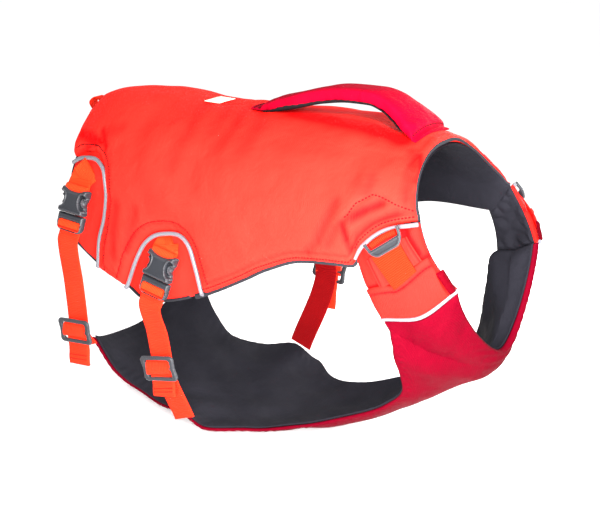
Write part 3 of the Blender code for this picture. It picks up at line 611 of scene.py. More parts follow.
def stitch_rows(name, rows, material, pitch=3.1, length=2.2, thick=0.75):
    """Stitches along lines: each a small spindle of three five-sided rings and two tips.

    rows is a list of (line, normals); stitches are spaced one pitch apart and stand half out.
    """
    centres, aheads, ups = [], [], []
    for line, up in rows:
        total = run_of(line)[-1]
        count = max(2, int(total / pitch))
        even, up_even = evenly(line, 2 * count + 1, np.broadcast_to(up, line.shape))
        centres.append(even[1::2])
        aheads.append(unit(even[2::2] - even[:-1:2]))
        ups.append(unit(up_even[1::2]))
    centre, ahead, up = (np.concatenate(v)[:, None, None] for v in (centres, aheads, ups))
    side = unit(np.cross(ahead, up))
    turn = np.linspace(0, 2 * math.pi, 5, endpoint=False)
    place = np.array([-0.38, 0.0, 0.38])[None, :, None, None] * length
    swell = np.array([0.8, 1.0, 0.8])[None, :, None, None] * thick / 2
    ring = (centre + ahead * place + (side * np.cos(turn)[None, None, :, None]
            + up * np.sin(turn)[None, None, :, None]) * swell)
    tips = centre[:, 0] + ahead[:, 0] * (np.array([-0.5, 0.5])[None, :, None] * length) \
        - up[:, 0] * thick * 0.3
    count = len(centre)
    verts = np.concatenate([ring.reshape(count, 15, 3), tips], 1)
    k = np.arange(5)
    n = (k + 1) % 5
    quads = np.concatenate([np.stack([r * 5 + k, r * 5 + n, r * 5 + 5 + n, r * 5 + 5 + k], 1)
                            for r in (0, 1)])
    tris = np.r_[np.stack([n, k, np.full(5, 15)], 1), np.stack([10 + k, 10 + n,
                                                                 np.full(5, 16)], 1)]
    shift = (np.arange(count) * 17)[:, None, None]
    uv = np.broadcast_to(np.linspace(0, 1, 17)[None, :, None], (count, 17, 2))
    return make_piece(name, verts, [(quads[None] + shift).reshape(-1, 4)[:, ::-1],
                                    (tris[None] + shift).reshape(-1, 3)[:, ::-1]],
                      uv, material)


def plate(name, centre, down, out, size, shape, thick, rounding, material, step=0.55,
          relief=None):
    """A moulded plate: the height of a rounded edge over the distance inside a flat shape.

    shape gives the signed distance, positive inside, at (across, down) in mm; both faces close
    on its zero line by a quarter ellipse.  relief sinks or lifts the outer face.
    """
    down = unit(down)
    out = unit(out - down * np.dot(out, down))
    across = np.cross(down, out)
    x, y = (np.linspace(-side / 2 - step, side / 2 + step, int(side / step) + 3)
            for side in size)
    gx, gy = np.meshgrid(x, y, indexing="ij")
    distance = shape(gx, gy)
    move_i, move_j, near, kept = onto_zero_line(distance)
    gx, gy = gx + move_i * (x[1] - x[0]), gy + move_j * (y[1] - y[0])
    distance = np.where(near, 0.0, distance)
    full = np.sqrt(1 - (1 - (distance / rounding).clip(0, 1)) ** 2)
    high = thick / 2 * full
    lift = relief(gx, gy) * full if relief is not None else 0.0
    flat = centre + gx[..., None] * across + gy[..., None] * down
    return shell(name, flat + out * (high + lift)[..., None], flat - out * high[..., None],
                 kept, np.stack([gx, gy], 2), material, sharp=40.0)


def box_shape(x, y, wide, tall, corner):
    """Signed distance inside a rectangle with round corners, positive inside."""
    dx, dy = np.abs(x) - wide / 2 + corner, np.abs(y) - tall / 2 + corner
    outside = np.hypot(np.maximum(dx, 0), np.maximum(dy, 0))
    return corner - outside - np.minimum(np.maximum(dx, dy), 0)


# ---- materials


def node(tree, kind, inputs=None, **settings):
    """Add a shader node with its settings, values and links."""
    made = tree.nodes.new(kind)
    for key, value in settings.items():
        setattr(made, key, value)
    for key, value in (inputs or {}).items():
        if isinstance(value, bpy.types.NodeSocket):
            tree.links.new(value, made.inputs[key])
        else:
            made.inputs[key].default_value = value
    return made


def fresh(name):
    """A new node material and its shader."""
    made = bpy.data.materials.get(name) or bpy.data.materials.new(name)
    made.use_nodes = True
    tree = made.node_tree
    for other in list(tree.nodes):
        if other.type not in {"BSDF_PRINCIPLED", "OUTPUT_MATERIAL"}:
            tree.nodes.remove(other)
    return made, tree, tree.nodes["Principled BSDF"]


def varied(tree, vector, colour, scale, spread, dark=0.86, detail=4.0):
    """A colour between a darker and a lighter version of itself by slow noise."""
    noise = node(tree, "ShaderNodeTexNoise", {"Vector": vector, "Scale": scale,
                                              "Detail": detail, "Roughness": 0.6})
    ramp = node(tree, "ShaderNodeMapRange", {"Value": noise.outputs["Fac"], "From Min": 0.32,
                                             "From Max": 0.68})
    low = tuple(c * dark for c in colour[:3]) + (1,)
    high = tuple(min(1.0, c * spread) for c in colour[:3]) + (1,)
    mix = node(tree, "ShaderNodeMix", {"Factor": ramp.outputs["Result"]}, data_type="RGBA")
    mix.inputs[6].default_value, mix.inputs[7].default_value = low, high
    return mix.outputs[2]


def math_node(tree, operation, one, two=0.0, three=None):
    """A math node's output."""
    made = tree.nodes.new("ShaderNodeMath")
    made.operation = operation
    for k, value in enumerate((one, two, three)):
        if isinstance(value, bpy.types.NodeSocket):
            tree.links.new(value, made.inputs[k])
        elif value is not None:
            made.inputs[k].default_value = value
    return made.outputs[0]


def darkened(tree, colour, factor, amount):
    """A colour times 1 less amount where factor is 1."""
    shade = math_node(tree, "MULTIPLY_ADD", factor, -amount, 1.0)
    both = node(tree, "ShaderNodeVectorMath", {0: colour}, operation="SCALE")
    tree.links.new(shade, both.inputs["Scale"])
    return both.outputs[0]


def with_painted_shade(tree, colour, deep):
    """Painted shade: a colour times a deeper one where the mesh's painted-shade value is 1, for
    the shade in folds and under parts.
    """
    tone = node(tree, "ShaderNodeAttribute", attribute_name="tone")
    mix = node(tree, "ShaderNodeMix", {"Factor": tone.outputs["Fac"]}, data_type="RGBA",
               blend_type="MULTIPLY")
    tree.links.new(colour, mix.inputs[6])
    mix.inputs[7].default_value = tuple(deep) + (1,)
    return mix.outputs[2]


# deep is the colour that the painted shade multiplies by.
def cloth_material(name, colour, rough=0.66, twill=0.30, weave=0.45, bump=0.35, dark=0.88,
                   spread=1.06, wrinkle=0.5, tint=0.12, gloss=0.03, deep=(0.78, 0.12, 0.25)):
    """Woven cloth: diagonal ribs crossed by threads, slow wrinkles, a faint colour drift and
    painted shade.
    """
    made, tree, shader = fresh(name)
    uv = node(tree, "ShaderNodeTexCoord").outputs
    ribs = node(tree, "ShaderNodeTexWave", {"Vector": uv["UV"], "Scale": twill,
                                            "Distortion": 0.3, "Detail": 1.0,
                                            "Detail Scale": 0.6},
                wave_type="BANDS", bands_direction="DIAGONAL")
    threads = node(tree, "ShaderNodeTexWave", {"Vector": uv["UV"], "Scale": weave,
                                               "Distortion": 0.2, "Detail": 1.0},
                   wave_type="BANDS", bands_direction="Y")
    weave_height = math_node(tree, "MULTIPLY_ADD", threads.outputs["Fac"], 0.45,
                             ribs.outputs["Fac"])
    slow = node(tree, "ShaderNodeTexNoise", {"Vector": uv["Object"], "Scale": 46.0,
                                             "Detail": 3.0, "Roughness": 0.5,
                                             "Distortion": 0.4})
    base = varied(tree, uv["Object"], colour, 14.0, spread, dark)
    base = darkened(tree, base, math_node(tree, "SUBTRACT", 1.0, ribs.outputs["Fac"]), tint)
    base = with_painted_shade(tree, base, deep)
    tree.links.new(base, shader.inputs["Base Color"])
    fine = node(tree, "ShaderNodeBump", {"Height": weave_height, "Strength": bump,
                                         "Distance": 0.00035})
    broad = node(tree, "ShaderNodeBump", {"Height": slow.outputs["Fac"], "Strength": wrinkle,
                                          "Distance": 0.004, "Normal": fine.outputs["Normal"]})
    tree.links.new(broad.outputs["Normal"], shader.inputs["Normal"])
    rough_noise = node(tree, "ShaderNodeTexNoise", {"Vector": uv["Object"], "Scale": 120.0,
                                                    "Detail": 2.0})
    tree.links.new(math_node(tree, "MULTIPLY_ADD", rough_noise.outputs["Fac"], 0.16,
                             rough - 0.08), shader.inputs["Roughness"])
    shader.inputs["Specular IOR Level"].default_value = gloss
    return made


# deep is the colour that the painted shade multiplies by.
def webbing_material(name, colour, rib=0.19, rough=0.62, bump=0.7, tint=0.22,
                     deep=(0.26, 0.08, 0.40)):
    """Nylon webbing: ribs across the strap crossed by warp threads along it, and painted shade."""
    made, tree, shader = fresh(name)
    uv = node(tree, "ShaderNodeTexCoord").outputs
    ribs = node(tree, "ShaderNodeTexWave", {"Vector": uv["UV"], "Scale": rib,
                                            "Distortion": 0.15, "Detail": 1.0},
                wave_type="BANDS", bands_direction="Y")
    warp = node(tree, "ShaderNodeTexWave", {"Vector": uv["UV"], "Scale": 0.26,
                                            "Distortion": 0.3, "Detail": 1.0},
                wave_type="BANDS", bands_direction="X")
    height = math_node(tree, "MULTIPLY_ADD", warp.outputs["Fac"], 0.5, ribs.outputs["Fac"])
    base = varied(tree, uv["Object"], colour, 30.0, 1.06, 0.9)
    base = darkened(tree, base, math_node(tree, "SUBTRACT", 1.0, ribs.outputs["Fac"]), tint)
    base = with_painted_shade(tree, base, deep)
    tree.links.new(base, shader.inputs["Base Color"])
    fine = node(tree, "ShaderNodeBump", {"Height": height, "Strength": bump,
                                         "Distance": 0.0005})
    tree.links.new(fine.outputs["Normal"], shader.inputs["Normal"])
    shader.inputs["Roughness"].default_value = rough
    shader.inputs["Specular IOR Level"].default_value = 0.03
    return made


def plastic_material(name, colour, rough=0.42, gloss=0.30):
    """Moulded plastic: a fine matt grain, roughness that varies with slow noise, and a painted
    highlight that turns its corners paler.
    """
    made, tree, shader = fresh(name)
    where = node(tree, "ShaderNodeTexCoord").outputs["Object"]
    grain = node(tree, "ShaderNodeTexNoise", {"Vector": where, "Scale": 1500.0, "Detail": 3.0})
    wear = node(tree, "ShaderNodeTexNoise", {"Vector": where, "Scale": 90.0, "Detail": 5.0,
                                             "Roughness": 0.65})
    # Painted highlight: convex corners, found by pointiness, turned paler.
    edge = node(tree, "ShaderNodeNewGeometry").outputs["Pointiness"]
    painted_edge_highlight = node(tree, "ShaderNodeMapRange", {"Value": edge, "From Min": 0.50, "From Max": 0.60})
    mix = node(tree, "ShaderNodeMix", {"Factor": painted_edge_highlight.outputs["Result"]}, data_type="RGBA")
    tree.links.new(varied(tree, where, colour, 40.0, 1.1, 0.88), mix.inputs[6])
    mix.inputs[7].default_value = tuple(min(1, c * 1.7 + 0.012) for c in colour[:3]) + (1,)
    tree.links.new(mix.outputs[2], shader.inputs["Base Color"])
    tree.links.new(math_node(tree, "MULTIPLY_ADD", wear.outputs["Fac"], 0.2, rough - 0.1),
                   shader.inputs["Roughness"])
    bump = node(tree, "ShaderNodeBump", {"Height": grain.outputs["Fac"], "Strength": 0.25,
                                         "Distance": 0.0002})
    tree.links.new(bump.outputs["Normal"], shader.inputs["Normal"])
    shader.inputs["Specular IOR Level"].default_value = gloss
    return made


def piping_material(name, colour):
    """Reflective tape round a cord: close fine beads, a silver sheen and faint soiling."""
    made, tree, shader = fresh(name)
    uv = node(tree, "ShaderNodeTexCoord").outputs
    beads = node(tree, "ShaderNodeTexVoronoi", {"Vector": uv["UV"], "Scale": 1.6},
                 voronoi_dimensions="2D")
    base = varied(tree, uv["Object"], colour, 60.0, 1.05, 0.92)
    tree.links.new(base, shader.inputs["Base Color"])
    bump = node(tree, "ShaderNodeBump", {"Height": beads.outputs["Distance"], "Strength": 0.3,
                                         "Distance": 0.0002})
    tree.links.new(bump.outputs["Normal"], shader.inputs["Normal"])
    shader.inputs["Roughness"].default_value = 0.42
    shader.inputs["Specular IOR Level"].default_value = 0.6
    return made


def floor_material(name, colour):
    """Pale matt floor with a barely seen mottling."""
    made, tree, shader = fresh(name)
    where = node(tree, "ShaderNodeTexCoord").outputs["Object"]
    tree.links.new(varied(tree, where, colour, 3.0, 1.01, 0.985), shader.inputs["Base Color"])
    shader.inputs["Roughness"].default_value = 0.9
    shader.inputs["Specular IOR Level"].default_value = 0.1
    shader.inputs["Emission Color"].default_value = (1.0, 1.0, 1.0, 1)
    shader.inputs["Emission Strength"].default_value = 0.14
    return made


# Every finish: its colour's name, how it is made, its material and what differs from the usual.
TAPE = {"rough": 0.72, "twill": 0.5, "weave": 0.7, "bump": 0.4, "spread": 1.1, "dark": 0.85}
FINISH_COLUMNS = ("colour", "make", "material", "values")
FINISHES = (
    ("orange", cloth_material, "orange_twill", {"spread": 1.10, "dark": 0.90}),
    # One crimson cloth in two colours: the chest's made darker as painted shade, the grip's
    # lighter as painted light.
    ("crimson", cloth_material, "crimson_twill", {"spread": 1.08, "gloss": 0.015}),
    ("grip", cloth_material, "crimson_grip_twill", {"spread": 1.08, "dark": 0.9, "gloss": 0.02}),
    ("strip", cloth_material, "grey_strip_cloth", TAPE),
    ("charcoal", cloth_material, "charcoal_lining_cloth",
     {"rough": 0.7, "twill": 0.42, "weave": 0.6, "bump": 0.3, "spread": 1.15, "dark": 0.8}),
    ("binding", cloth_material, "grey_binding_cloth", TAPE),
    ("webbing", webbing_material, "orange_webbing_weave", {}),
    ("patch", webbing_material, "orange_adjuster_weave", {"tint": 0.36}),
    # Painted light: the same webbing as the straps, made lighter where it rises off the panel and
    # turns round the buckles' bars.
    ("turn", webbing_material, "orange_turned_weave", {"rib": 0.2}),
    ("roll", webbing_material, "orange_roll_weave", {"rib": 0.2, "bump": 0.9}),
    ("piping", piping_material, "reflective_piping_tape", {}),
    # Painted shade: the thread is orange, but the stitches are drawn dark to paint the shade along
    # the stitched lines.
    ("thread", cloth_material, "orange_thread",
     {"twill": 2.0, "weave": 2.0, "bump": 0.2, "wrinkle": 0.0}),
    ("plastic", plastic_material, "grey_moulded_plastic", {}),
    ("slider", plastic_material, "slate_moulded_plastic", {"gloss": 0.2}),
    ("label", cloth_material, "pale_label_cloth",
     {"twill": 0.6, "weave": 0.9, "bump": 0.3, "wrinkle": 0.1}),
)
# What is worked out once and used again: the dense back, the finishes and the tails' stitches.
BUILT = {}


def finish_of(key):
    """A finish by its colour's name; all are made at the first call."""
    if "finishes" not in BUILT:
        colours = bpy.context.scene.jacket_finish
        BUILT["finishes"] = {name: make(material, tuple(getattr(colours, name)), **values)
                             for name, make, material, values in FINISHES}
    return BUILT["finishes"][key]


# ---- back surfaces


class Back:
    """The dense back: inner face, outward ways, panel wall and both trimmed outlines."""

    def __init__(self):
        self.xs = spaced(REAR_ROW, NECK_ROW, 2.3, 380.0)
        rim = np.array([4.5, 3.2, 2.0, 1.05, 0.4, 0.0]) / HALF_GIRTH
        half = np.r_[np.linspace(0, 1 - rim[0], 84)[1:], 1 - rim[1:]]
        self.ts = np.r_[-half[::-1], 0.0, half]
        self.base = back_grid(self.xs, self.ts)
        self.out = normals(self.base)
        self.border = border_distance(self.base)
        self.start = self.base + self.out * (LINING + SEAM)
        x, y, z = self.base[..., 0], self.base[..., 1], self.base[..., 2]
        self.arches = {}
        corner = np.array([(-262, -176), (-262, -56)])
        for arch, points in (("rear", REAR_ARCH), ("front", FRONT_ARCH)):
            line = smooth_line(points, 60)
            closes = corner if arch == "rear" else np.empty((0, 2))
            self.arches[arch] = (line, np.r_[offset_line(line, PIPE + GAP), closes],
                                 np.r_[offset_line(line, PIPE), closes])
        far = np.where(np.abs(y) > 25, 0.0, 1e3)
        self.notch = np.minimum(polygon_distance(x, z, self.arches["rear"][1]),
                                polygon_distance(x, z, self.arches["front"][1])) + far
        self.edge = np.minimum(self.border, np.maximum(self.notch, 0))
        flat = np.linalg.norm
        rear = flat(self.base - self.base[:1], axis=2)
        neck = flat(self.base - self.base[-1:], axis=2)
        low = np.minimum(flat(self.base - self.base[:, :1], axis=2),
                         flat(self.base - self.base[:, -1:], axis=2))
        near = np.minimum(np.minimum(rear / 26, (neck / 75) ** 2),
                          np.minimum(low / 26, np.maximum(self.notch, 0) / 22)).clip(0, 1)
        self.wall = EDGE_WALL + (FOAM - EDGE_WALL) * np.sqrt(1 - (1 - near) ** 2)

    def at(self, x, t, lift=0.0, wall=True):
        """Points on the panel at rows x and turns t, lifted along its outward way."""
        i, j = step_at(x, self.xs), step_at(t, self.ts)
        out = unit(sample(self.out, i, j))
        height = lift + (LINING + SEAM + sample(self.wall, i, j) if wall else 0.0)
        return sample(self.base, i, j) + out * np.asarray(height)[..., None], out

    def place(self, x, z, side, high=6.0):
        """Row and turn of the panel point nearest to a side place (x, z)."""
        seen = self.base + self.out * high
        half = self.ts * side > 0.12
        grid = seen[:, half]
        found_x, found_t = [], []
        for a, b in zip(np.atleast_1d(x), np.atleast_1d(z)):
            away = (grid[..., 0] - a) ** 2 + (grid[..., 2] - b) ** 2
            k, m = np.unravel_index(away.argmin(), away.shape)
            i, j = k, np.flatnonzero(half)[m]
            i0, i1 = max(i - 1, 0), min(i + 1, len(self.xs) - 1)
            j0, j1 = max(j - 1, 0), min(j + 1, len(self.ts) - 1)
            du = (seen[i1, j] - seen[i0, j])[[0, 2]] / (i1 - i0)
            dv = (seen[i, j1] - seen[i, j0])[[0, 2]] / (j1 - j0)
            want = np.array([a, b]) - seen[i, j][[0, 2]]
            step = np.linalg.lstsq(np.stack([du, dv], 1), want, rcond=None)[0].clip(-1, 1)
            found_x.append(np.interp(i + step[0], np.arange(len(self.xs)), self.xs))
            found_t.append(np.interp(j + step[1], np.arange(len(self.ts)), self.ts))
        return np.array(found_x), np.array(found_t)


def back():
    """The dense back, worked out once."""
    if "back" not in BUILT:
        BUILT["back"] = Back()
    return BUILT["back"]


def thin_faces(start, out, thick, near, above=0.0, below=0.0):
    """Both faces of a thin sheet, drawn together at half its wall where near falls to 0.

    above lifts the outer face and below sinks the inner one.
    """
    return (start + out * (thick * (0.5 + 0.5 * near) + above)[..., None],
            start + out * (thick * (0.5 - 0.5 * near) - below)[..., None])


def takes(piece, stands_for=None):
    """Hide the part of the model that a piece stands for, if any; the piece itself is not used."""
    if stands_for:
        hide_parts(stands_for)


def sheet_size(grid):
    """Flat width, length and area in metres of a grid of points in mm."""
    run = lengths(grid)
    wide = float((run[:, -1, 0] - run[:, 0, 0]).max()) * MM
    long = float(run[-1, :, 1].max()) * MM
    one = np.cross(grid[1:, :-1] - grid[:-1, :-1], grid[:-1, 1:] - grid[:-1, :-1])
    two = np.cross(grid[1:, 1:] - grid[1:, :-1], grid[1:, 1:] - grid[:-1, 1:])
    area = float((np.linalg.norm(one, axis=2) + np.linalg.norm(two, axis=2)).sum() / 2) * 1e-6
    return max(wide, LEAST_FLAT), max(long, LEAST_FLAT), area


def declare_sheet(grid, share=1.0):
    """Work out a grid's flat width, length and area, the area scaled by share; nothing is kept or
    returned.
    """
    wide, long, area = sheet_size(grid)
    area = min(max(area * share, 0.31 * wide * long), wide * long)


def mirrored(rows):
    """Fold rows for both sides: the turn columns change sign on the second."""
    rows = np.asarray(rows, float)
    return np.r_[rows, rows * np.array([1, -1, 1, -1, 1, 1, 1])]


# ---- operators


def settings():
    """The jacket's sizes."""
    return bpy.context.scene.jacket_sizes


class JacketSizes(bpy.types.PropertyGroup):
    """Sizes of the jacket's cloth and trim."""

    fold_depth: bpy.props.FloatProperty(
        name="Fold depth", description="How deep the pressed folds are, against the tables",
        default=1.0, min=0.0, max=3.0)
    ripple: bpy.props.FloatProperty(
        name="Ripple", description="Height of the slow ripples in the padding",
        default=0.0009, min=0.0, max=0.004, subtype="DISTANCE", unit="LENGTH")
    piping: bpy.props.FloatProperty(
        name="Piping", description="Diameter of the reflective piping",
        default=0.0042, min=0.002, max=0.008, subtype="DISTANCE", unit="LENGTH")
    webbing: bpy.props.FloatProperty(
        name="Webbing width", description="Width of the side straps",
        default=0.025, min=0.015, max=0.04, subtype="DISTANCE", unit="LENGTH")
    webbing_thick: bpy.props.FloatProperty(
        name="Webbing thickness", description="Thickness of the side straps",
        default=0.0018, min=0.001, max=0.004, subtype="DISTANCE", unit="LENGTH")
    stitch: bpy.props.FloatProperty(
        name="Stitch length", description="Distance from one stitch to the next",
        default=0.0029, min=0.0015, max=0.006, subtype="DISTANCE", unit="LENGTH")


def colour_property(name, text, default):
    """A colour a user may change."""
    return bpy.props.FloatVectorProperty(name=name, description=text, subtype="COLOR", size=4,
                                         min=0.0, max=1.0, default=default)


class JacketFinish(bpy.types.PropertyGroup):
    """Colours of the jacket's cloth, trim and plastic."""

    orange: colour_property("Orange cloth", "Back and shoulder cloth", (0.95, 0.0185, 0.0118, 1))
    # One crimson cloth in two colours: the chest's made darker as painted shade, the grip's
    # lighter as painted light.
    crimson: colour_property("Crimson cloth", "Chest and belly", (0.092, 0.0001, 0.0050, 1))
    grip: colour_property("Grip cloth", "Padded grip", (0.29, 0.0004, 0.0120, 1))
    strip: colour_property("Grip strip", "Strip under the grip", (0.009, 0.009, 0.010, 1))
    charcoal: colour_property("Lining", "Inner cloth", (0.011, 0.0105, 0.014, 1))
    binding: colour_property("Binding", "Edge binding", (0.020, 0.020, 0.024, 1))
    webbing: colour_property("Webbing", "Side straps", (0.76, 0.0230, 0.0075, 1))
    patch: colour_property("Adjuster webbing", "Webbing of the adjusters",
                           (0.75, 0.0150, 0.003, 1))
    # Painted light: the same webbing as the straps, made lighter where it rises off the panel and
    # turns round the buckles' bars.
    turn: colour_property("Turned webbing", "Webbing round the buckles' bars",
                          (0.85, 0.036, 0.008, 1))
    roll: colour_property("Adjuster roll", "Webbing round the adjuster's bar",
                          (0.60, 0.014, 0.004, 1))
    piping: colour_property("Piping", "Reflective piping", (0.115, 0.115, 0.132, 1))
    # Painted shade: the thread is orange, but the stitches are drawn dark to paint the shade along
    # the stitched lines.
    thread: colour_property("Thread", "Stitching on orange cloth", (0.030, 0.002, 0.004, 1))
    plastic: colour_property("Buckles", "Moulded buckles", (0.011, 0.012, 0.015, 1))
    slider: colour_property("Sliders", "Moulded sliders", (0.015, 0.016, 0.019, 1))
    label: colour_property("Label", "Sewn label", (0.72, 0.76, 0.62, 1))
    floor: colour_property("Floor", "Stage floor", (0.86, 0.86, 0.86, 1))


class JACKET_OT_back(bpy.types.Operator):
    """Padded back cover with its pressed folds and painted shade, and its charcoal lining"""

    bl_idname = "jacket.back"
    bl_label = "Back panel"

    def execute(self, context):
        b = back()
        size = settings()
        fold = mirrored(BACK_FOLDS)
        lines = list(zip(b.at(fold[:, 0], fold[:, 1])[0], b.at(fold[:, 2], fold[:, 3])[0]))
        wide, deep, shade = fold[:, 4:].T
        quilted, _ = b.at(*np.array([(x, side * t) for side in (-1, 1) for x, t in CHEVRON]).T)
        quilted = [pair for half in np.split(quilted, 2) for pair in zip(half[:-1], half[1:])]
        along, up = b.base[..., 0], b.base[..., 2]
        top = b.start + b.out * b.wall[..., None]
        ripple = undulate(top, 11, 74, size.ripple / MM)
        ripple += undulate(top, 12, 27, 0.35 * size.ripple / MM)
        pucker = 0.45 * np.sin(2 * math.pi * (along + 0.6 * up) / 8.5 + 2.2 * np.sin(up / 17)) \
            * bell(b.edge - 8, 6)
        lobe = LOBE_PUFF * bell(b.xs[:, None] - 118, 24) * bell(np.abs(b.ts[None]) - 0.70, 0.17)
        channel = 0.8 * bell(b.edge - EDGE_SEAM, 1.5)
        channel += creases(top, quilted, [1.7] * len(quilted), [1.0] * len(quilted))
        relief = ripple * soft(b.edge / 9) + pucker + lobe - channel \
            - creases(top, lines, wide, deep) * size.fold_depth
        # Painted shade: darker in the folds, in the grip's shadow over the ridge, and along the
        # stitched channel by the edge.
        tone = creases(top, lines, wide * 1.1, shade * 1.35) + 0.35 * bell(b.edge - EDGE_SEAM, 1.6)
        outer, inner = rounded_wall(b.start, b.out, np.maximum(b.wall + relief, 2.0), b.border)
        piece = cloth_shell("back_cover", outer, inner, finish_of("orange"), distance=b.notch,
                            tone=tone)
        takes(piece, "back_panel")

        sag = np.abs(undulate(b.base, 21, 60, 0.5) * soft(b.border / 10)) * 0.9
        outer, inner = thin_faces(b.base, b.out, LINING, soft(b.border / 3.0), below=sag)
        piece = cloth_shell("back_inner_cloth", outer, inner, finish_of("charcoal"))
        takes(piece, "back_lining")
        declare_sheet(b.base)
        return {"FINISHED"}


class JACKET_OT_arches(bpy.types.Operator):
    """Facings under the four side arches, their reflective piping, and the edge bindings"""

    bl_idname = "jacket.arches"
    bl_label = "Side arches"

    def execute(self, context):
        b = back()
        x, z = b.base[..., 0], b.base[..., 2]
        for arch, (line, _, face) in b.arches.items():
            rows = b.xs < -120 if arch == "rear" else (b.xs > -165) & (b.xs < -10)
            for tag, side in SIDES:
                pick = np.ix_(rows, b.ts * side > 0.05)
                inside = -polygon_distance(x[pick], z[pick], face)
                self.facing("%s_facing_%s" % (arch, tag), b.start[pick], b.out[pick],
                            soft(b.border[pick] / 2.0), inside)
                self.piping("%s_piping_%s" % (arch, tag), line, side)
        for tag, side in SIDES:
            xs = np.linspace(-52, BAND_FROM[tag], 120)
            points, up = b.at(xs, np.full(120, side), -EDGE_WALL * 0.45)
            piece = carried("edge_binding_%s_tape" % tag, points - np.array([0, 0, 0.9]), up,
                            round_profile(5.4, 4.2, 14, 2.6), finish_of("binding"),
                            grow=0.66 + 0.34 * soft((xs + 30) / -20))
            takes(piece, "edge_binding_" + tag)
            xs = np.linspace(REAR_ROW, -60, 110)
            points, up = b.at(xs, np.full(110, side), -EDGE_WALL * 0.5)
            takes(carried("rear_hem_%s" % tag, points, up, round_profile(1.6, 2.6, 10),
                          finish_of("binding"), grow=1.0 + 0.8 * soft((xs + 170) / 40)))
        ts = np.linspace(-1, 1, 240)
        for name, row, deep in (("neck_hem", NECK_ROW, 0.4), ("rear_edge_hem", REAR_ROW, 0.3)):
            inner = 0.45 * soft((ts - 0.1) / 0.3) * (row > 0)
            points, up = b.at(np.full(240, row), ts, -EDGE_WALL * (0.5 + inner))
            takes(carried(name, points, up, round_profile(1.5, 2.4, 12), finish_of("binding"),
                          grow=1.0 + deep * bell(ts + 0.05, 0.30)))
        return {"FINISHED"}

    @staticmethod
    def facing(name, start, out, near, inside):
        """The base that shows in an arch: a thin rippled sheet, trimmed to the arch's line."""
        outer, inner = thin_faces(start, out, FACING, near,
                                  above=undulate(start, 31, 22, 0.5) * near)
        piece = cloth_shell(name + "_cloth", outer, inner, finish_of("orange"), distance=inside)
        takes(piece, name)
        kept = inside > 0
        ii, jj = np.flatnonzero(kept.any(1)), np.flatnonzero(kept.any(0))
        part = start[ii[0]:ii[-1] + 1, jj[0]:jj[-1] + 1]
        cell = np.linalg.norm(np.cross(np.gradient(start, axis=0), np.gradient(start, axis=1)),
                              axis=2)
        share = float(cell[kept].sum()) * 1e-6 / sheet_size(part)[2]
        declare_sheet(part, share)

    @staticmethod
    def piping(name, line, side):
        """A cord laid on an arch's line, where the panel is seen there from the side."""
        b = back()
        points, up = b.at(*b.place(line[:, 0], line[:, 1], side, 8.0),
                          LINING + FACING + 2 * SEAM + 3.9, wall=False)
        keep = (line[:, 1] > points[:, 2] - 6) & (np.abs(points[:, 0] - line[:, 0]) < 6) \
            & (points[:, 0] > -212)
        points, up = evenly(points[keep], 150, up[keep])
        for k in range(3):
            points[2:-2, k] = np.convolve(points[:, k], np.ones(5) / 5, "valid")
        wide = settings().piping / MM
        piece = carried(name + "_tape", points, up, round_profile(wide, wide * 0.86, 12),
                        finish_of("piping"))
        takes(piece, name)


def shoulder_surface(tag, side, us, vs, tuck=0.0):
    """Inner grid of a shoulder band and its outward ways."""
    b = back()
    rows = np.linspace(BAND_FROM[tag], NECK_ROW, DENSE)
    upper = sample(b.base, step_at(rows, b.xs),
                   np.full(DENSE, 0.0 if side < 0 else len(b.ts) - 1.0))
    lower = belly_grid(np.linspace(13, 15, 40), np.array([side]))[:, 0]
    grid = shoulder_grid(upper, lower, side, us, vs, tuck)
    return grid, normals(grid, side < 0)


def shoulder_outer(tag, side, us, vs, lift=0.0):
    """Points on the outside of a band at paired places (u, v), and the outward way there."""
    dense = np.linspace(0, 1, DENSE)
    grid, out = shoulder_surface(tag, side, dense, dense)
    i, j = us * (DENSE - 1), vs * (DENSE - 1)
    way = unit(sample(out, i, j))
    high = LINING + GAP + sample(shoulder_wall(dense, dense), i, j) + lift
    return sample(grid, i, j) + way * high[..., None], way


def waist(u, v):
    """Place along a band after its neck side is drawn in by a sine over its height."""
    return u * (1 - BAND_WAIST * np.sin(math.pi * np.clip(v, 0, 1) ** 0.9))


def waisted(tag, side, us, vs, tuck):
    """Inner grid of a band with its drawn-in neck side, and its outward ways."""
    dense = np.linspace(0, 1, DENSE)
    grid, _ = shoulder_surface(tag, side, dense, dense, tuck)
    u, v = np.meshgrid(us, vs, indexing="ij")
    grid = sample(grid, waist(u, v) * (DENSE - 1), v * (DENSE - 1))
    return grid, normals(grid, side < 0)


def band_flap(tag, side):
    """Both faces of the flap folded up over a band's lower half, its middle grid and its painted
    shade.
    """
    part = spaced(0.0, 1.0, 1.4, 60.0, rim=(0.3, 0.8, 1.5))
    fall = spaced(0.0, 1.0, 1.4, 34.0, rim=(0.3, 0.8, 1.5))
    edge_u, edge_v = np.array(FLAP_EDGE).T
    front_v, front_u = np.array(FLAP_FRONT).T
    top = np.interp(part, edge_u, edge_v)
    top = np.convolve(np.r_[[top[0]] * 2, top, [top[-1]] * 2], np.ones(5) / 5, "valid")
    v = top[:, None] + (0.975 - top[:, None]) * fall[None]
    u = 0.012 + (np.interp(v, front_v, front_u) - 0.012) * part[:, None]
    low, out = shoulder_outer(tag, side, u, v, 0.25)
    down = np.broadcast_to(fall[None] * FLAP_TALL, u.shape)
    wall = 1.9 + 0.9 * bell(down - 3.0, 2.4) + undulate(low, 46, 24, 0.5) \
        - 0.7 * bell(down - 6.2, 1.0) * soft((part[:, None] - 0.3) / 0.1)
    wall += 0.25 * np.sin(part[:, None] * 60 / 1.3) * bell(down - 6, 3.0)
    # Painted shade: the whole flap darker, deepest along its stitched line.
    tone = 0.46 + 0.5 * bell(down - 6.2, 1.2)
    return rounded_wall(low, out, wall, border_distance(low), 1.6), low, tone


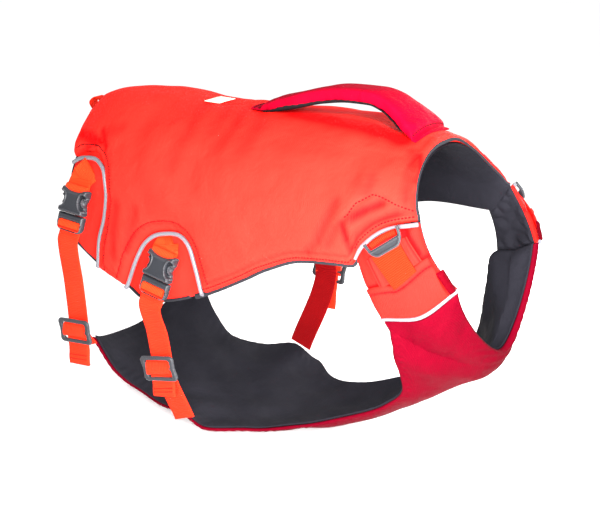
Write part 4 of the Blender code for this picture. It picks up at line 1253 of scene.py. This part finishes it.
class JACKET_OT_shoulders(bpy.types.Operator):
    """Padded shoulder bands, their linings and reflective pipings"""

    bl_idname = "jacket.shoulders"
    bl_label = "Shoulder bands"

    def execute(self, context):
        us, vs = spaced(0.0, 1.0, 1.6, 60.0), spaced(0.0, 1.0, 1.6, 75.0)
        u, v = np.meshgrid(us, vs, indexing="ij")
        # Troughs from the neck side and the rear side down to the flap, and along its edge.
        neck_fold = (u - 0.80 - 0.26 * v) * BAND_LONG
        rear_fold = (u - 0.14 - 0.10 * v) * BAND_LONG
        below = (v - np.interp(u, *np.array(FLAP_EDGE).T)) * BAND_TALL
        for tag, side in SIDES:
            flip = side < 0
            grid, out = waisted(tag, side, us, vs, 0.9)
            border = border_distance(grid)
            relief = undulate(grid, 41, 30, 0.8) * soft(border / 8) \
                - 1.5 * bell(neck_fold, 3.2) * soft((0.42 - v) / 0.1) \
                - 0.8 * bell(rear_fold, 3.0) * soft((0.5 - v) / 0.1) - 1.3 * bell(below, 2.5)
            # Painted shade: the whole band cover darker, deeper in its neck fold and along the
            # flap's edge.
            tone = 0.52 + bell(neck_fold, 3.6) * soft((0.42 - v) / 0.1) + 0.5 * bell(below, 2.5)
            outer, inner = rounded_wall(grid + out * (LINING + GAP), out,
                                        shoulder_wall(us, vs) + relief, border)
            piece = cloth_shell("shoulder_cover_" + tag, outer, inner, finish_of("orange"),
                                flip=flip, tone=tone)
            takes(piece, "shoulder_strap_" + tag)

            grid, out = waisted(tag, side, us, vs, 1.6)
            near = soft(border_distance(grid) / 3.0)
            outer, inner = thin_faces(grid, out, LINING, near,
                                      below=np.abs(undulate(grid, 43, 14, 1.6)) * near)
            piece = cloth_shell("shoulder_inner_cloth_" + tag, outer, inner,
                                finish_of("charcoal"), flip=flip)
            takes(piece, "shoulder_lining_" + tag)
            declare_sheet(grid)

            flap, middle, tone = band_flap(tag, side)
            piece = cloth_shell("shoulder_flap_" + tag, *flap, finish_of("orange"), flip=flip,
                                tone=tone)
            takes(piece)
            declare_sheet(middle)

            low, out = shoulder_outer(tag, side, *np.meshgrid(
                spaced(0.90, 0.995, 1.2, 8.0, rim=(0.4, 0.9)),
                spaced(0.63, 0.985, 1.2, 28.0, rim=(0.4, 0.9)), indexing="ij"), 0.3)
            edge = border_distance(low)
            swell = 1.6 + 1.5 * np.sin(math.pi * (edge / edge.max()) / 2) \
                + undulate(low, 45, 9, 0.5)
            outer, inner = rounded_wall(low, out, swell, edge, 2.0)
            # Painted shade: the pocket darkened evenly.
            piece = cloth_shell("shoulder_pocket_" + tag, outer, inner, finish_of("crimson"),
                                flip=flip, tone=np.full(edge.shape, 0.5))
            takes(piece)
            declare_sheet(low)

            wide = settings().piping / MM
            for name, place, lift in (("shoulder_piping", 0.0, 3.6), ("chest_piping", 1.0, 2.4)):
                points, up = shoulder_outer(tag, side, np.linspace(0, 1, 90),
                                            np.full(90, place), lift)
                piece = carried("%s_%s_tape" % (name, tag), points, up,
                                round_profile(wide * 0.9, wide * 0.8, 12), finish_of("piping"))
                takes(piece, "%s_%s" % (name, tag))
        return {"FINISHED"}


class JACKET_OT_adjusters(bpy.types.Operator):
    """Tab, ribbed webbing, roll and moulded ring of each shoulder adjuster"""

    bl_idname = "jacket.adjusters"
    bl_label = "Shoulder adjusters"

    def execute(self, context):
        for tag, side in SIDES:
            for row in ADJUSTER:
                self.sewn(tag, side, *row)
            us = np.linspace(BAR_REAR, BAR_FRONT, 40)
            points, up = shoulder_outer(tag, side, us, 0.082 - 0.10 * (us - BAR_REAR), 3.4)
            piece = carried("adjuster_roll_" + tag, points, up, round_profile(5.4, 4.6, 20),
                            finish_of("roll"))
            takes(piece, "adjuster_loop_" + tag)
            declare_sheet(np.stack([points, points + np.array([0, 0, 10.2])], 1))

            (rear, front, centre), (_, _, face) = shoulder_outer(
                tag, side, np.array([BAR_REAR, BAR_FRONT, 0.53]),
                np.array([0.150, 0.104, 0.118]), 4.7)
            down = np.cross(face, unit(front - rear))
            down = down if down[2] < 0 else -down
            piece = plate("adjuster_ring_%s_plate" % tag, centre, down, face, (40, 22),
                          self.ring, RING_THICK, 1.0, finish_of("slider"), 0.4, self.step)
            takes(piece, "adjuster_ring_" + tag)
        return {"FINISHED"}

    @staticmethod
    def sewn(tag, side, name, rear_top, front_top, front_low, rear_low, lift, thick):
        """A sheet spread evenly between its four corners on a band; the tab has a hem and painted
        shade.
        """
        flip, hemmed = side < 0, name == "adjuster_tab"
        a = spaced(0, 1, 0.8, 30.0, rim=(0.3, 0.8))[:, None, None]
        b = spaced(0, 1, 0.8, 26.0, rim=(0.3, 0.8))[None, :, None]
        rear_top, front_top, front_low, rear_low = map(
            np.array, (rear_top, front_top, front_low, rear_low))
        place = (rear_top * (1 - a) + front_top * a) * (1 - b) \
            + (rear_low * (1 - a) + front_low * a) * b
        low, out = shoulder_outer(tag, side, place[..., 0], place[..., 1], lift)
        border = border_distance(low)
        wall, tone = np.full(border.shape, thick), np.zeros(border.shape)
        if hemmed:
            away = np.minimum(place[..., 0] - place[:1, :, 0],
                              place[-1:, :, 0] - place[..., 0]) * BAND_LONG
            wall += 0.5 * bell(away - 3.6, 1.2) - 0.7 * bell(away - 1.9, 0.5)
            # Painted shade: the tab darker all over, deepest in its hem's crease.
            tone = 0.42 + 0.5 * bell(away - 1.9, 0.7)
        outer, inner = rounded_wall(low, out, wall, border, 0.9)
        piece = cloth_shell("%s_%s_cloth" % (name, tag), outer, inner,
                            finish_of("orange" if hemmed else "patch"), flip=flip,
                            uv=lengths(low)[..., ::-1], tone=tone)
        takes(piece, "%s_%s" % (name, tag))
        declare_sheet(low)

    @staticmethod
    def ring(x, y):
        """Flat shape of the ring: a tapered round-cornered bow with a window."""
        taper = 1.0 - 0.010 * (y + 9)
        whole = np.minimum(box_shape(x / taper, y + 8, RING_WIDE, 34, 9.0), y + 6.6)
        return np.minimum(whole, -box_shape(x / taper, y + 6.0, 31.4, 13.0, 1.6))

    @staticmethod
    def step(x, y):
        """Relief of the ring: its inner part 1 mm lower, with a lip along the webbing's bar."""
        taper = 1.0 - 0.010 * (y + 9)
        inner = box_shape(x / taper, y + 3.0, 32.6, 19.6, 6.8)
        return 0.5 * bell(y - 2.2, 0.5) * (np.abs(x) < 14.5) - soft((inner + 0.1) / 0.8)


class JACKET_OT_belly(bpy.types.Operator):
    """Crimson chest and belly panel and its padded charcoal lining"""

    bl_idname = "jacket.belly"
    bl_label = "Chest and belly"

    def execute(self, context):
        rows = spaced(0.0, 15.0, 3.4, 590.0)
        us = spaced(-1.0, 1.0, 2.2, 210.0)
        face = belly_grid(rows, us)
        out = normals(face, flip=True)
        border = border_distance(face)
        row0, u0, row1, u1, wide, deep = np.asarray(BELLY_FOLDS, float).T
        ends = [sample(face, step_at(row, rows), step_at(u, us))
                for row, u in ((row0, u0), (row1, u1))]
        trough = creases(face, list(zip(*ends)), wide, deep)
        chest = soft((rows - 10.5) / 1.5)[:, None]
        wall = BELLY_WALL + (CHEST_WALL - BELLY_WALL) * chest * np.minimum(1, 0.6 + border / 40)
        relief = undulate(face, 51, 48, 0.9) * soft(border / 10)
        run = lengths(face)
        pucker = 0.5 * np.sin(2 * math.pi * run[..., 1] / 7.5 + 2 * np.sin(run[..., 1] / 23)) \
            * bell(border - 6, 5)
        wall_out = np.maximum(wall + relief + pucker - trough * (0.5 + 0.5 * chest)
                              * settings().fold_depth, 1.4)
        outer, inner = rounded_wall(face + out * GAP, out, wall_out, border, 1.8)
        piece = cloth_shell("chest_belly_cover", outer, inner, finish_of("crimson"), flip=True)
        takes(piece, "chest_belly_panel")
        declare_sheet(face)

        rim = soft((15 - rows[:, None]) / 0.9) * 0.92 + 0.08
        side = 0.12 + 0.88 * np.sqrt(1 - (1 - (border / 20).clip(0, 1)) ** 2)
        wall = BELLY_LINING + (CHEST_PAD - BELLY_LINING) * (chest * rim) * side
        gather = 0.7 * np.sin(2 * math.pi * run[..., 1] / 9.0 + 3 * np.sin(run[..., 1] / 31)) \
            * bell(border - 9, 9) * (1 - 0.4 * chest)
        wrinkle = undulate(face, 55, 36, 0.8) * soft(border / 10)
        wall = np.maximum(wall + gather * 0.8 + wrinkle + 0.5 * (1 - chest), 0.8)
        inner, outer = rounded_wall(face, -out, wall, border, 1.6)
        piece = cloth_shell("chest_belly_inner_cloth", outer, inner, finish_of("charcoal"),
                            flip=True)
        takes(piece, "chest_belly_lining")
        return {"FINISHED"}


def grip_rings(run_at, turns, lift=0.0):
    """Rings of the grip on its underside line: half times |cos|^0.5, thick times |sin|^0.55."""
    table = np.asarray(GRIP, float)
    run = run_of(table[:, :2])
    x, z, half, thick, hug = table_at(np.c_[run, table], run_at * run[-1]).T
    coarse = table_at(np.c_[run, table], np.linspace(0, run[-1], 15))
    ahead = unit(np.gradient(coarse[:, :2], axis=0))
    where = run_at * 14
    ahead = unit(np.stack([np.interp(where, np.arange(15), ahead[:, k]) for k in (0, 1)], 1))
    up = np.stack([-ahead[:, 1], ahead[:, 0]], 1)
    c, s = np.cos(turns), np.sin(turns)
    y = (half[:, None] + lift) * np.sign(c) * np.abs(c) ** 0.5
    h = thick[:, None] / 2 + (thick[:, None] / 2 + lift) * np.sign(s) * np.abs(s) ** 0.55
    grid = np.stack([x[:, None] + up[:, :1] * h, y,
                     z[:, None] + up[:, 1:] * h - hug[:, None] * 0.005 * y**2], 2)
    return grid, run_at * run[-1], up


class JACKET_OT_handle(bpy.types.Operator):
    """Padded crimson grip over the back, with the dark strip beneath it"""

    bl_idname = "jacket.handle"
    bl_label = "Grip"

    def execute(self, context):
        at = np.linspace(0, 1, GRIP_ROWS)
        turn = np.linspace(0, 2 * math.pi, 72, endpoint=False)[None] + np.zeros((GRIP_ROWS, 1))
        grid, run, _ = grip_rings(at, turn)
        long = run[-1]
        out = unit(grid - grid.mean(1, keepdims=True))
        padded = (soft((run - 12) / 12) * soft((long - 7 - run) / 8))[:, None]
        under = bell(np.sin(turn) + 0.75, 0.3)
        gather = np.sin(run / 1.15 + 1.7 * np.sin(run / 9))[:, None]
        relief = undulate(grid, 61, 30, 0.55) * padded
        relief += 0.40 * under * gather * padded
        ends = bell(run - 16, 9) + bell(long - 10 - run, 8)
        relief += 0.45 * ends[:, None] * np.sin(grid[..., 1] / 1.9 + 2 * np.sin(run / 5)[:, None])
        edge = bell(np.abs(np.cos(turn)) - 0.86, 0.05) * (np.sin(turn) > 0)
        relief += 0.25 * edge * padded
        grid = grid + out * relief[..., None] * np.where(padded > 0, 1, 0.3)[..., None]
        uv = np.stack(np.broadcast_arrays(turn * 8, run[:, None]), 2)
        piece = tube("grip_cover", grid, uv, finish_of("grip"))
        takes(piece, "handle")

        at = np.linspace(0.07, 0.90, 200)
        x_at = np.interp(at, np.linspace(0, 1, GRIP_ROWS), grid.mean(1)[:, 0])
        reach = 0.36 + 0.09 * bell(x_at + 6, 17) \
            + 0.010 * np.sin(x_at / 1.3) + 0.006 * np.sin(x_at / 3.1)
        turn = -0.5 * math.pi + math.pi * np.linspace(-1, 1, 33)[None] * reach[:, None]
        low, _, _ = grip_rings(at, turn, 0.35)
        down = normals(low, True)
        down = np.where(down[..., 2:] > 0, -down, down)
        near = soft(border_distance(low) / 1.2)[..., None]
        outer, inner = low + down * (0.35 + 0.65 * near), low + down * (0.33 - 0.33 * near)
        piece = cloth_shell("grip_underside_cloth", outer, inner, finish_of("strip"))
        takes(piece, "handle_underside")
        declare_sheet(low)
        return {"FINISHED"}


class Strap:
    """Places of one side strap on its own side, with its ways down, outward and across.

    Its buckle leans off the straight line from top to bottom by LEAN, forward and outward.
    """

    def __init__(self, name, side, sewn, top, bottom, slider, end, tail):
        mirror = np.array([1, side, 1.0])
        self.name, self.side, self.sewn, self.tail = name, side, sewn, tail
        self.top, bottom, self.slider, self.end = (
            np.array(place, float) * mirror for place in (top, bottom, slider, end))
        self.face = np.array([0, side, 0.0])
        self.down = unit(unit(bottom - self.top) + np.array([LEAN[0], LEAN[1] * side, 0.0]))
        self.outward = unit(self.face - self.down * np.dot(self.face, self.down))
        self.across = np.cross(self.down, self.outward)
        self.first = self.at(BUCKLE_LONG + 1.6)
        self.along = unit(self.end - self.first)

    def at(self, down, out=0.0):
        """A place this far down the buckle from its top, and out from it."""
        return self.top + self.down * down + self.outward * out


def upper_webbing(strap, wide, thick):
    """Webbing from its seam on the panel, rising off it, then round the socket's bar."""
    b = back()
    sx, st = b.place(strap.sewn[0], strap.sewn[1] + 3, strap.side)
    ex, et = b.place(strap.top[0] - 5, strap.top[2] + 5, strap.side)
    s = np.linspace(0, 1, 14)
    path, out = b.at(sx + (ex - sx) * s, st + (et - st) * s,
                     LINING + FACING + SEAM + thick / 2 + 0.6 + 4.2 * s**1.5, wall=False)
    turn = np.linspace(0, 1.1, 9)[:, None] * math.pi
    wrap = strap.at(3.5, 1.6) + (strap.outward * np.sin(turn) - strap.down * np.cos(turn)) * 2.4
    line, up = evenly(np.r_[path[:-2], wrap], 60,
                      np.r_[out[:-2], np.repeat(strap.outward[None], len(wrap), 0)])
    up = np.cross(strap.across, unit(np.gradient(line, axis=0)))
    piece = carried("webbing_upper_%s_strap" % strap.name, line, up,
                    strap_profile(wide, thick), finish_of("turn"))
    takes(piece, "webbing_upper_" + strap.name)


def lower_webbing(strap, wide, thick):
    """Webbing from the plug to the belly's edge, its way across easing onto the model's X."""
    first, slider, out = strap.first, strap.slider, strap.outward
    path = smooth_line([strap.at(BUCKLE_LONG - 2.8, 4.6), strap.at(BUCKLE_LONG - 4.0, 1.0),
                        strap.at(BUCKLE_LONG - 0.8), strap.at(BUCKLE_LONG + 9.6),
                        (first + slider) / 2 + out * 1.0, slider + (first - slider) * 0.08,
                        slider, strap.end], 120)
    turned = soft(np.linspace(-0.1, 2.2, 120))[:, None]
    across = strap.across * strap.side * (1 - turned) + np.array([1.0, 0, 0]) * turned
    up = np.cross(unit(np.gradient(path, axis=0)), across) * strap.side
    # Painted shade on the strap's inner face, the side toward the dog.
    piece = carried("webbing_lower_%s_strap" % strap.name, path, up,
                    strap_profile(wide, thick), finish_of("webbing"), shaded=out)
    takes(piece, "webbing_lower_" + strap.name)


def webbing_turn(name, centre, way, half, profile, outward, around, key):
    """Webbing wound round a bar: a rounded section carried straight along the bar."""
    line = centre + way * np.linspace(-half, half, 30)[:, None]
    piece = carried("webbing_turn_" + name, line, outward, profile, finish_of(key))
    takes(piece)
    declare_sheet(np.stack([line, line + around], 1))


def webbing_tail(strap, wide, thick):
    """The doubled end that hangs from the slider, waved by a sine.

    Gives the way its fold runs and two rows of stitches across it.
    """
    hang = unit(strap.along + np.array([0, 0, -0.6]))
    s = np.linspace(0, 1, 40)[:, None]
    path = strap.slider + strap.along * 3.0 + hang * (s * (strap.tail + 14)) \
        + strap.outward * (2.7 + 0.5 * np.sin(s * 9) + s * 3.0)
    piece = carried("webbing_tail_%s_strap" % strap.name, path, strap.outward,
                    strap_profile(wide, 2 * thick - 0.2), finish_of("webbing"))
    takes(piece, "webbing_tail_" + strap.name)
    fold = np.cross(strap.along, strap.outward)
    across = strap.outward * (thick + 0.05) + fold * np.linspace(-11.4, 11.4, 20)[:, None]
    return fold, [(path[int(far * 39)] + across, np.broadcast_to(strap.outward, across.shape))
                  for far in (0.72, 0.86)]


class JACKET_OT_webbing(bpy.types.Operator):
    """Side straps: sewn upper webbing, lower webbing through its slider, and folded tails"""

    bl_idname = "jacket.webbing"
    bl_label = "Side straps"

    def execute(self, context):
        wide, thick = settings().webbing / MM, settings().webbing_thick / MM
        BUILT["tail rows"] = []
        for row in STRAPS:
            strap = Strap(*row)
            out, name = strap.outward, strap.name
            upper_webbing(strap, wide, thick)
            lower_webbing(strap, wide, thick)
            for half, bar, high in (
                    ("socket_", strap.at(1.0, 2.6), 6.6),
                    ("plug_", strap.at(SOCKET_LONG + GAP + PLUG_LONG / 2 + 1.8, 1.6), 6.8)):
                webbing_turn(half + name, bar, strap.across, TURN_HALF,
                             round_profile(8.6, high, 20, 2.4), out, strap.down * TURN_RUN, "turn")
            fold, rows = webbing_tail(strap, wide, thick)
            BUILT["tail rows"] += rows
            webbing_turn("slider_" + name, strap.slider + out * SLIDER_STAND, fold, 14.0,
                         round_profile(13.6, 5.8, 20, 2.6), out, strap.along * 14.0, "webbing")
        return {"FINISHED"}


class JACKET_OT_buckles(bpy.types.Operator):
    """Side-release buckles: socket half with its windows, plug half with its webbing bar"""

    bl_idname = "jacket.buckles"
    bl_label = "Buckles"

    def execute(self, context):
        for row in STRAPS:
            strap = Strap(*row)
            piece = plate("buckle_socket_" + strap.name, strap.at(SOCKET_LONG / 2, 2), strap.down,
                          strap.outward, (33, 31), self.socket, SOCKET_THICK, 2.6,
                          finish_of("plastic"), 0.5, self.windows)
            takes(piece, "buckle_female_" + strap.name)
            piece = plate("buckle_plug_" + strap.name,
                          strap.at(SOCKET_LONG + GAP + PLUG_LONG / 2, 1), strap.down,
                          strap.outward, (33, 22), self.plug, PLUG_THICK, 2.4,
                          finish_of("plastic"), 0.5)
            takes(piece, "buckle_male_" + strap.name)
        return {"FINISHED"}

    @staticmethod
    def socket(x, y):
        """Flat shape of the socket: waisted, round-cornered, with a dip cut into its top."""
        waist = 15.6 - 2.4 * bell(y - 1.5, 4.6)
        body = np.minimum(waist - np.abs(x), 12.5 - np.abs(y))
        dip = 5.2 - np.hypot(x / 2.2, y + 14.6)
        return np.minimum(np.minimum(body, box_shape(x, y, 32, SOCKET_LONG, 3.0)), -dip * 1.2)

    @staticmethod
    def windows(x, y):
        """Relief of the socket: a crown, two ribs, and oval windows with a rim and an arm."""
        away = np.hypot((np.abs(x) - 13.0 - 0.12 * y) / 4.8, (y + 0.4) / 7.6)
        crown = 0.6 * np.cos(x / 16 * 1.3)
        rib = 0.5 * soft((box_shape(x, y - 10.4, 30, 2.6, 1.0) + 0.6) / 0.8)
        bridge = 0.5 * soft((box_shape(x, y + 8.0, 30, 2.4, 1.0) + 0.6) / 0.8)
        rim = 0.8 * bell(away - 1.12, 0.09)
        arm = 2.6 * bell(away - 0.50, 0.12)
        return crown + rib + bridge + rim + (arm - 3.8) * soft((1.0 - away) / 0.12)

    @staticmethod
    def plug(x, y):
        """Flat shape of the plug: round at its low corners, with a window over its bar."""
        whole = np.minimum(box_shape(x, y + 8.5, 31, 34, 6.5), y + 8.5)
        return np.minimum(whole, -box_shape(x, y - 1.8, 25.0, 7.4, 1.4))


class JACKET_OT_sliders(bpy.types.Operator):
    """Rounded three-bar sliders that set the length of the side straps"""

    bl_idname = "jacket.sliders"
    bl_label = "Sliders"

    def execute(self, context):
        for row in STRAPS:
            strap = Strap(*row)
            piece = plate("slider_%s_plate" % strap.name,
                          strap.slider + strap.face * SLIDER_STAND, strap.along, strap.face,
                          (40, 26), self.bars, SLIDER_THICK, 1.5, finish_of("slider"), 0.5)
            takes(piece, "slider_" + strap.name)
        return {"FINISHED"}

    @staticmethod
    def bars(x, y):
        """Flat shape of a slider: a slightly waisted frame with two windows."""
        whole = box_shape(x, y, SLIDER_WIDE - 2.0 * bell(y, 6.0), SLIDER_TALL, 4.6)
        holes = np.maximum(box_shape(x, y + 4.9, 28.5, 7.0, 1.8),
                           box_shape(x, y - 4.9, 28.5, 7.0, 1.8))
        return np.minimum(whole, -holes)


class JACKET_OT_trim(bpy.types.Operator):
    """Tail-light loop at the rear and the plain sewn label"""

    bl_idname = "jacket.trim"
    bl_label = "Loop and label"

    def execute(self, context):
        line = smooth_line([(-232.5, 0, -5), (-241, 0, -2), (-248.5, 0, -8), (-241, 0, -15),
                            (-232.5, 0, -14)], 60)
        ahead = unit(np.gradient(line, axis=0))
        piece = carried("rear_loop_strap", line, np.cross(ahead, np.array([0, 1.0, 0])),
                        strap_profile(12, 1.6, 0.12), finish_of("webbing"))
        takes(piece, "rear_loop")

        low, out = back().at(*np.meshgrid(
            spaced(-104.0, -86.0, 0.8, 18.0, rim=(0.2, 0.5)),
            spaced(-0.030, 0.085, 0.8, 22.0, rim=(0.2, 0.5)), indexing="ij"), 0.5)
        border = border_distance(low)
        outer, inner = rounded_wall(low, out, np.full(border.shape, 0.8), border, 0.5)
        piece = cloth_shell("label_patch", outer, inner, finish_of("label"))
        takes(piece, "label")
        declare_sheet(low)
        return {"FINISHED"}


class JACKET_OT_stitching(bpy.types.Operator):
    """Rows of stitches along the arches, edges, folds, straps and grip"""

    bl_idname = "jacket.stitching"
    bl_label = "Stitching"

    def execute(self, context):
        b = back()
        pitch = settings().stitch / MM
        rows = []

        cover = bpy.data.objects["back_cover"].data
        tree = BVHTree.FromPolygons([v.co for v in cover.vertices],
                                    [p.vertices for p in cover.polygons])

        def along(x, t, drop, count=120):
            """Add a row over places on the back, its points moved onto the cover's mesh."""
            points, up = b.at(np.asarray(x, float), np.asarray(t, float), drop)
            points, up = evenly(points, count, up)
            for k in range(count):
                hit = tree.ray_cast(Vector((points[k] + up[k] * 14) * MM), Vector(-up[k]), 0.03)
                if hit[0]:
                    points[k] = np.array(hit[0]) / MM + up[k] * 0.25
            rows.append((points, up))

        for line, _, _ in b.arches.values():
            for _, side in SIDES:
                away = offset_line(line, STITCH_AWAY)
                x, t = b.place(away[:, 0], away[:, 1], side, 12.0)
                inside = (np.abs(t) < 0.985) & (x > -222)
                if inside.sum() > 4:
                    along(x[inside], t[inside], -0.55)
        corner = np.linspace(0, len(CHEVRON) - 1, 60)
        x, t = (np.interp(corner, np.arange(len(CHEVRON)), k) for k in np.array(CHEVRON, float).T)
        for tag, side in SIDES:
            along(x, side * t, -0.9)
            along(np.linspace(-44, 108, 120), np.full(120, side * 0.978), -0.3)
            along(np.linspace(112, 149, 60), np.full(60, side * 0.965), -0.2, 60)
            (face, _), _, _ = band_flap(tag, side)
            count, deep = face.shape[:2]
            row = np.argmin(np.abs(np.linspace(0, 1, deep) - 0.215))
            points = face[int(count * 0.30):int(count * 0.97), row]
            rows.append((points, np.broadcast_to([0.3, side * 0.95, 0], points.shape)))
        stitches = stitch_rows("stitches_orange", rows, finish_of("thread"), pitch, 2.0, 1.25)

        stitches = stitch_rows("stitches_webbing", BUILT["tail rows"], finish_of("thread"),
                               2.2, 1.6, 0.9)

        rows = []
        for at in (0.018, 0.045, 0.972):
            turn = np.linspace(0.12, 0.88, 60) * math.pi
            ring, _, up = grip_rings(np.array([at]), turn[None], 0.15)
            rows.append((ring[0], np.broadcast_to([up[0, 0], 0, up[0, 1]], ring[0].shape)))
        stitches = stitch_rows("stitches_grip", rows, finish_of("thread"), pitch, 1.8, 1.2)
        return {"FINISHED"}


class JACKET_OT_stage(bpy.types.Operator):
    """Pale floor, soft studio lights and the camera"""

    bl_idname = "jacket.stage"
    bl_label = "Stage"

    def execute(self, context):
        scene = bpy.context.scene

        def placed(name, data, place, way):
            """Link an object at a place, its Z turned to a way."""
            obj = bpy.data.objects.new(name, data)
            obj.location = place
            obj.rotation_euler = way.to_track_quat("Z", "Y").to_euler()
            scene.collection.objects.link(obj)
            return obj

        mesh = bpy.data.meshes.new("stage_floor")
        mesh.from_pydata([(x * FLOOR_HALF, y * FLOOR_HALF, FLOOR_Z)
                          for x, y in ((-1, -1), (1, -1), (1, 1), (-1, 1))], [], [(0, 1, 2, 3)])
        mesh.materials.append(floor_material("pale_floor", tuple(scene.jacket_finish.floor)))
        floor = bpy.data.objects.new("stage_floor", mesh)
        scene.collection.objects.link(floor)

        world = scene.world or bpy.data.worlds.new("studio")
        scene.world = world
        world.use_nodes = True
        shade = world.node_tree.nodes["Background"]
        shade.inputs["Color"].default_value = (1.0, 1.0, 1.0, 1)
        shade.inputs["Strength"].default_value = 1.0
        for name, place, size, power in LIGHTS:
            light = bpy.data.lights.new(name, "AREA")
            light.shape, light.size, light.energy = "SQUARE", size, power
            placed(name, light, place, Vector(place) - Vector(LIGHTS_AIM)).visible_camera = False

        turn, rise = math.radians(CAMERA_TURN), math.radians(CAMERA_RISE)
        way = Vector((math.sin(turn) * math.cos(rise), -math.cos(turn) * math.cos(rise),
                      math.sin(rise)))
        camera = bpy.data.cameras.new("camera")
        camera.lens, camera.sensor_width = CAMERA_LENS * SENSOR, SENSOR
        scene.camera = placed("camera", camera, Vector(CAMERA_AIM) + way * CAMERA_AWAY, way)
        scene.view_settings.view_transform = "Standard"
        return {"FINISHED"}


class JACKET_PT_panel(bpy.types.Panel):
    """Sizes, colours and one button for each group of pieces"""

    bl_label = "Life Jacket"
    bl_idname = "JACKET_PT_panel"
    bl_space_type = "VIEW_3D"
    bl_region_type = "UI"
    bl_category = "Life Jacket"

    def draw(self, context):
        for group in (context.scene.jacket_sizes, context.scene.jacket_finish):
            box = self.layout.box()
            for key in group.bl_rna.properties.keys():
                if key not in {"rna_type", "name"}:
                    box.prop(group, key)
        for operator in OPERATORS:
            self.layout.operator(operator.bl_idname)


OPERATORS = (JACKET_OT_stage, JACKET_OT_back, JACKET_OT_arches, JACKET_OT_shoulders,
             JACKET_OT_adjusters, JACKET_OT_belly, JACKET_OT_handle, JACKET_OT_webbing,
             JACKET_OT_buckles, JACKET_OT_sliders, JACKET_OT_trim, JACKET_OT_stitching)
CLASSES = (JacketSizes, JacketFinish) + OPERATORS + (JACKET_PT_panel,)


def register():
    """Register the classes and hang both property groups on the scene."""
    for cls in CLASSES:
        bpy.utils.register_class(cls)
    bpy.types.Scene.jacket_sizes = bpy.props.PointerProperty(type=JacketSizes)
    bpy.types.Scene.jacket_finish = bpy.props.PointerProperty(type=JacketFinish)


def unregister():
    """Take the property groups and classes away again."""
    del bpy.types.Scene.jacket_finish
    del bpy.types.Scene.jacket_sizes
    for cls in reversed(CLASSES):
        bpy.utils.unregister_class(cls)


def main():
    """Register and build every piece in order."""
    register()
    for operator in OPERATORS:
        group, name = operator.bl_idname.split(".")
        getattr(getattr(bpy.ops, group), name)()


if __name__ == "__main__":
    main()
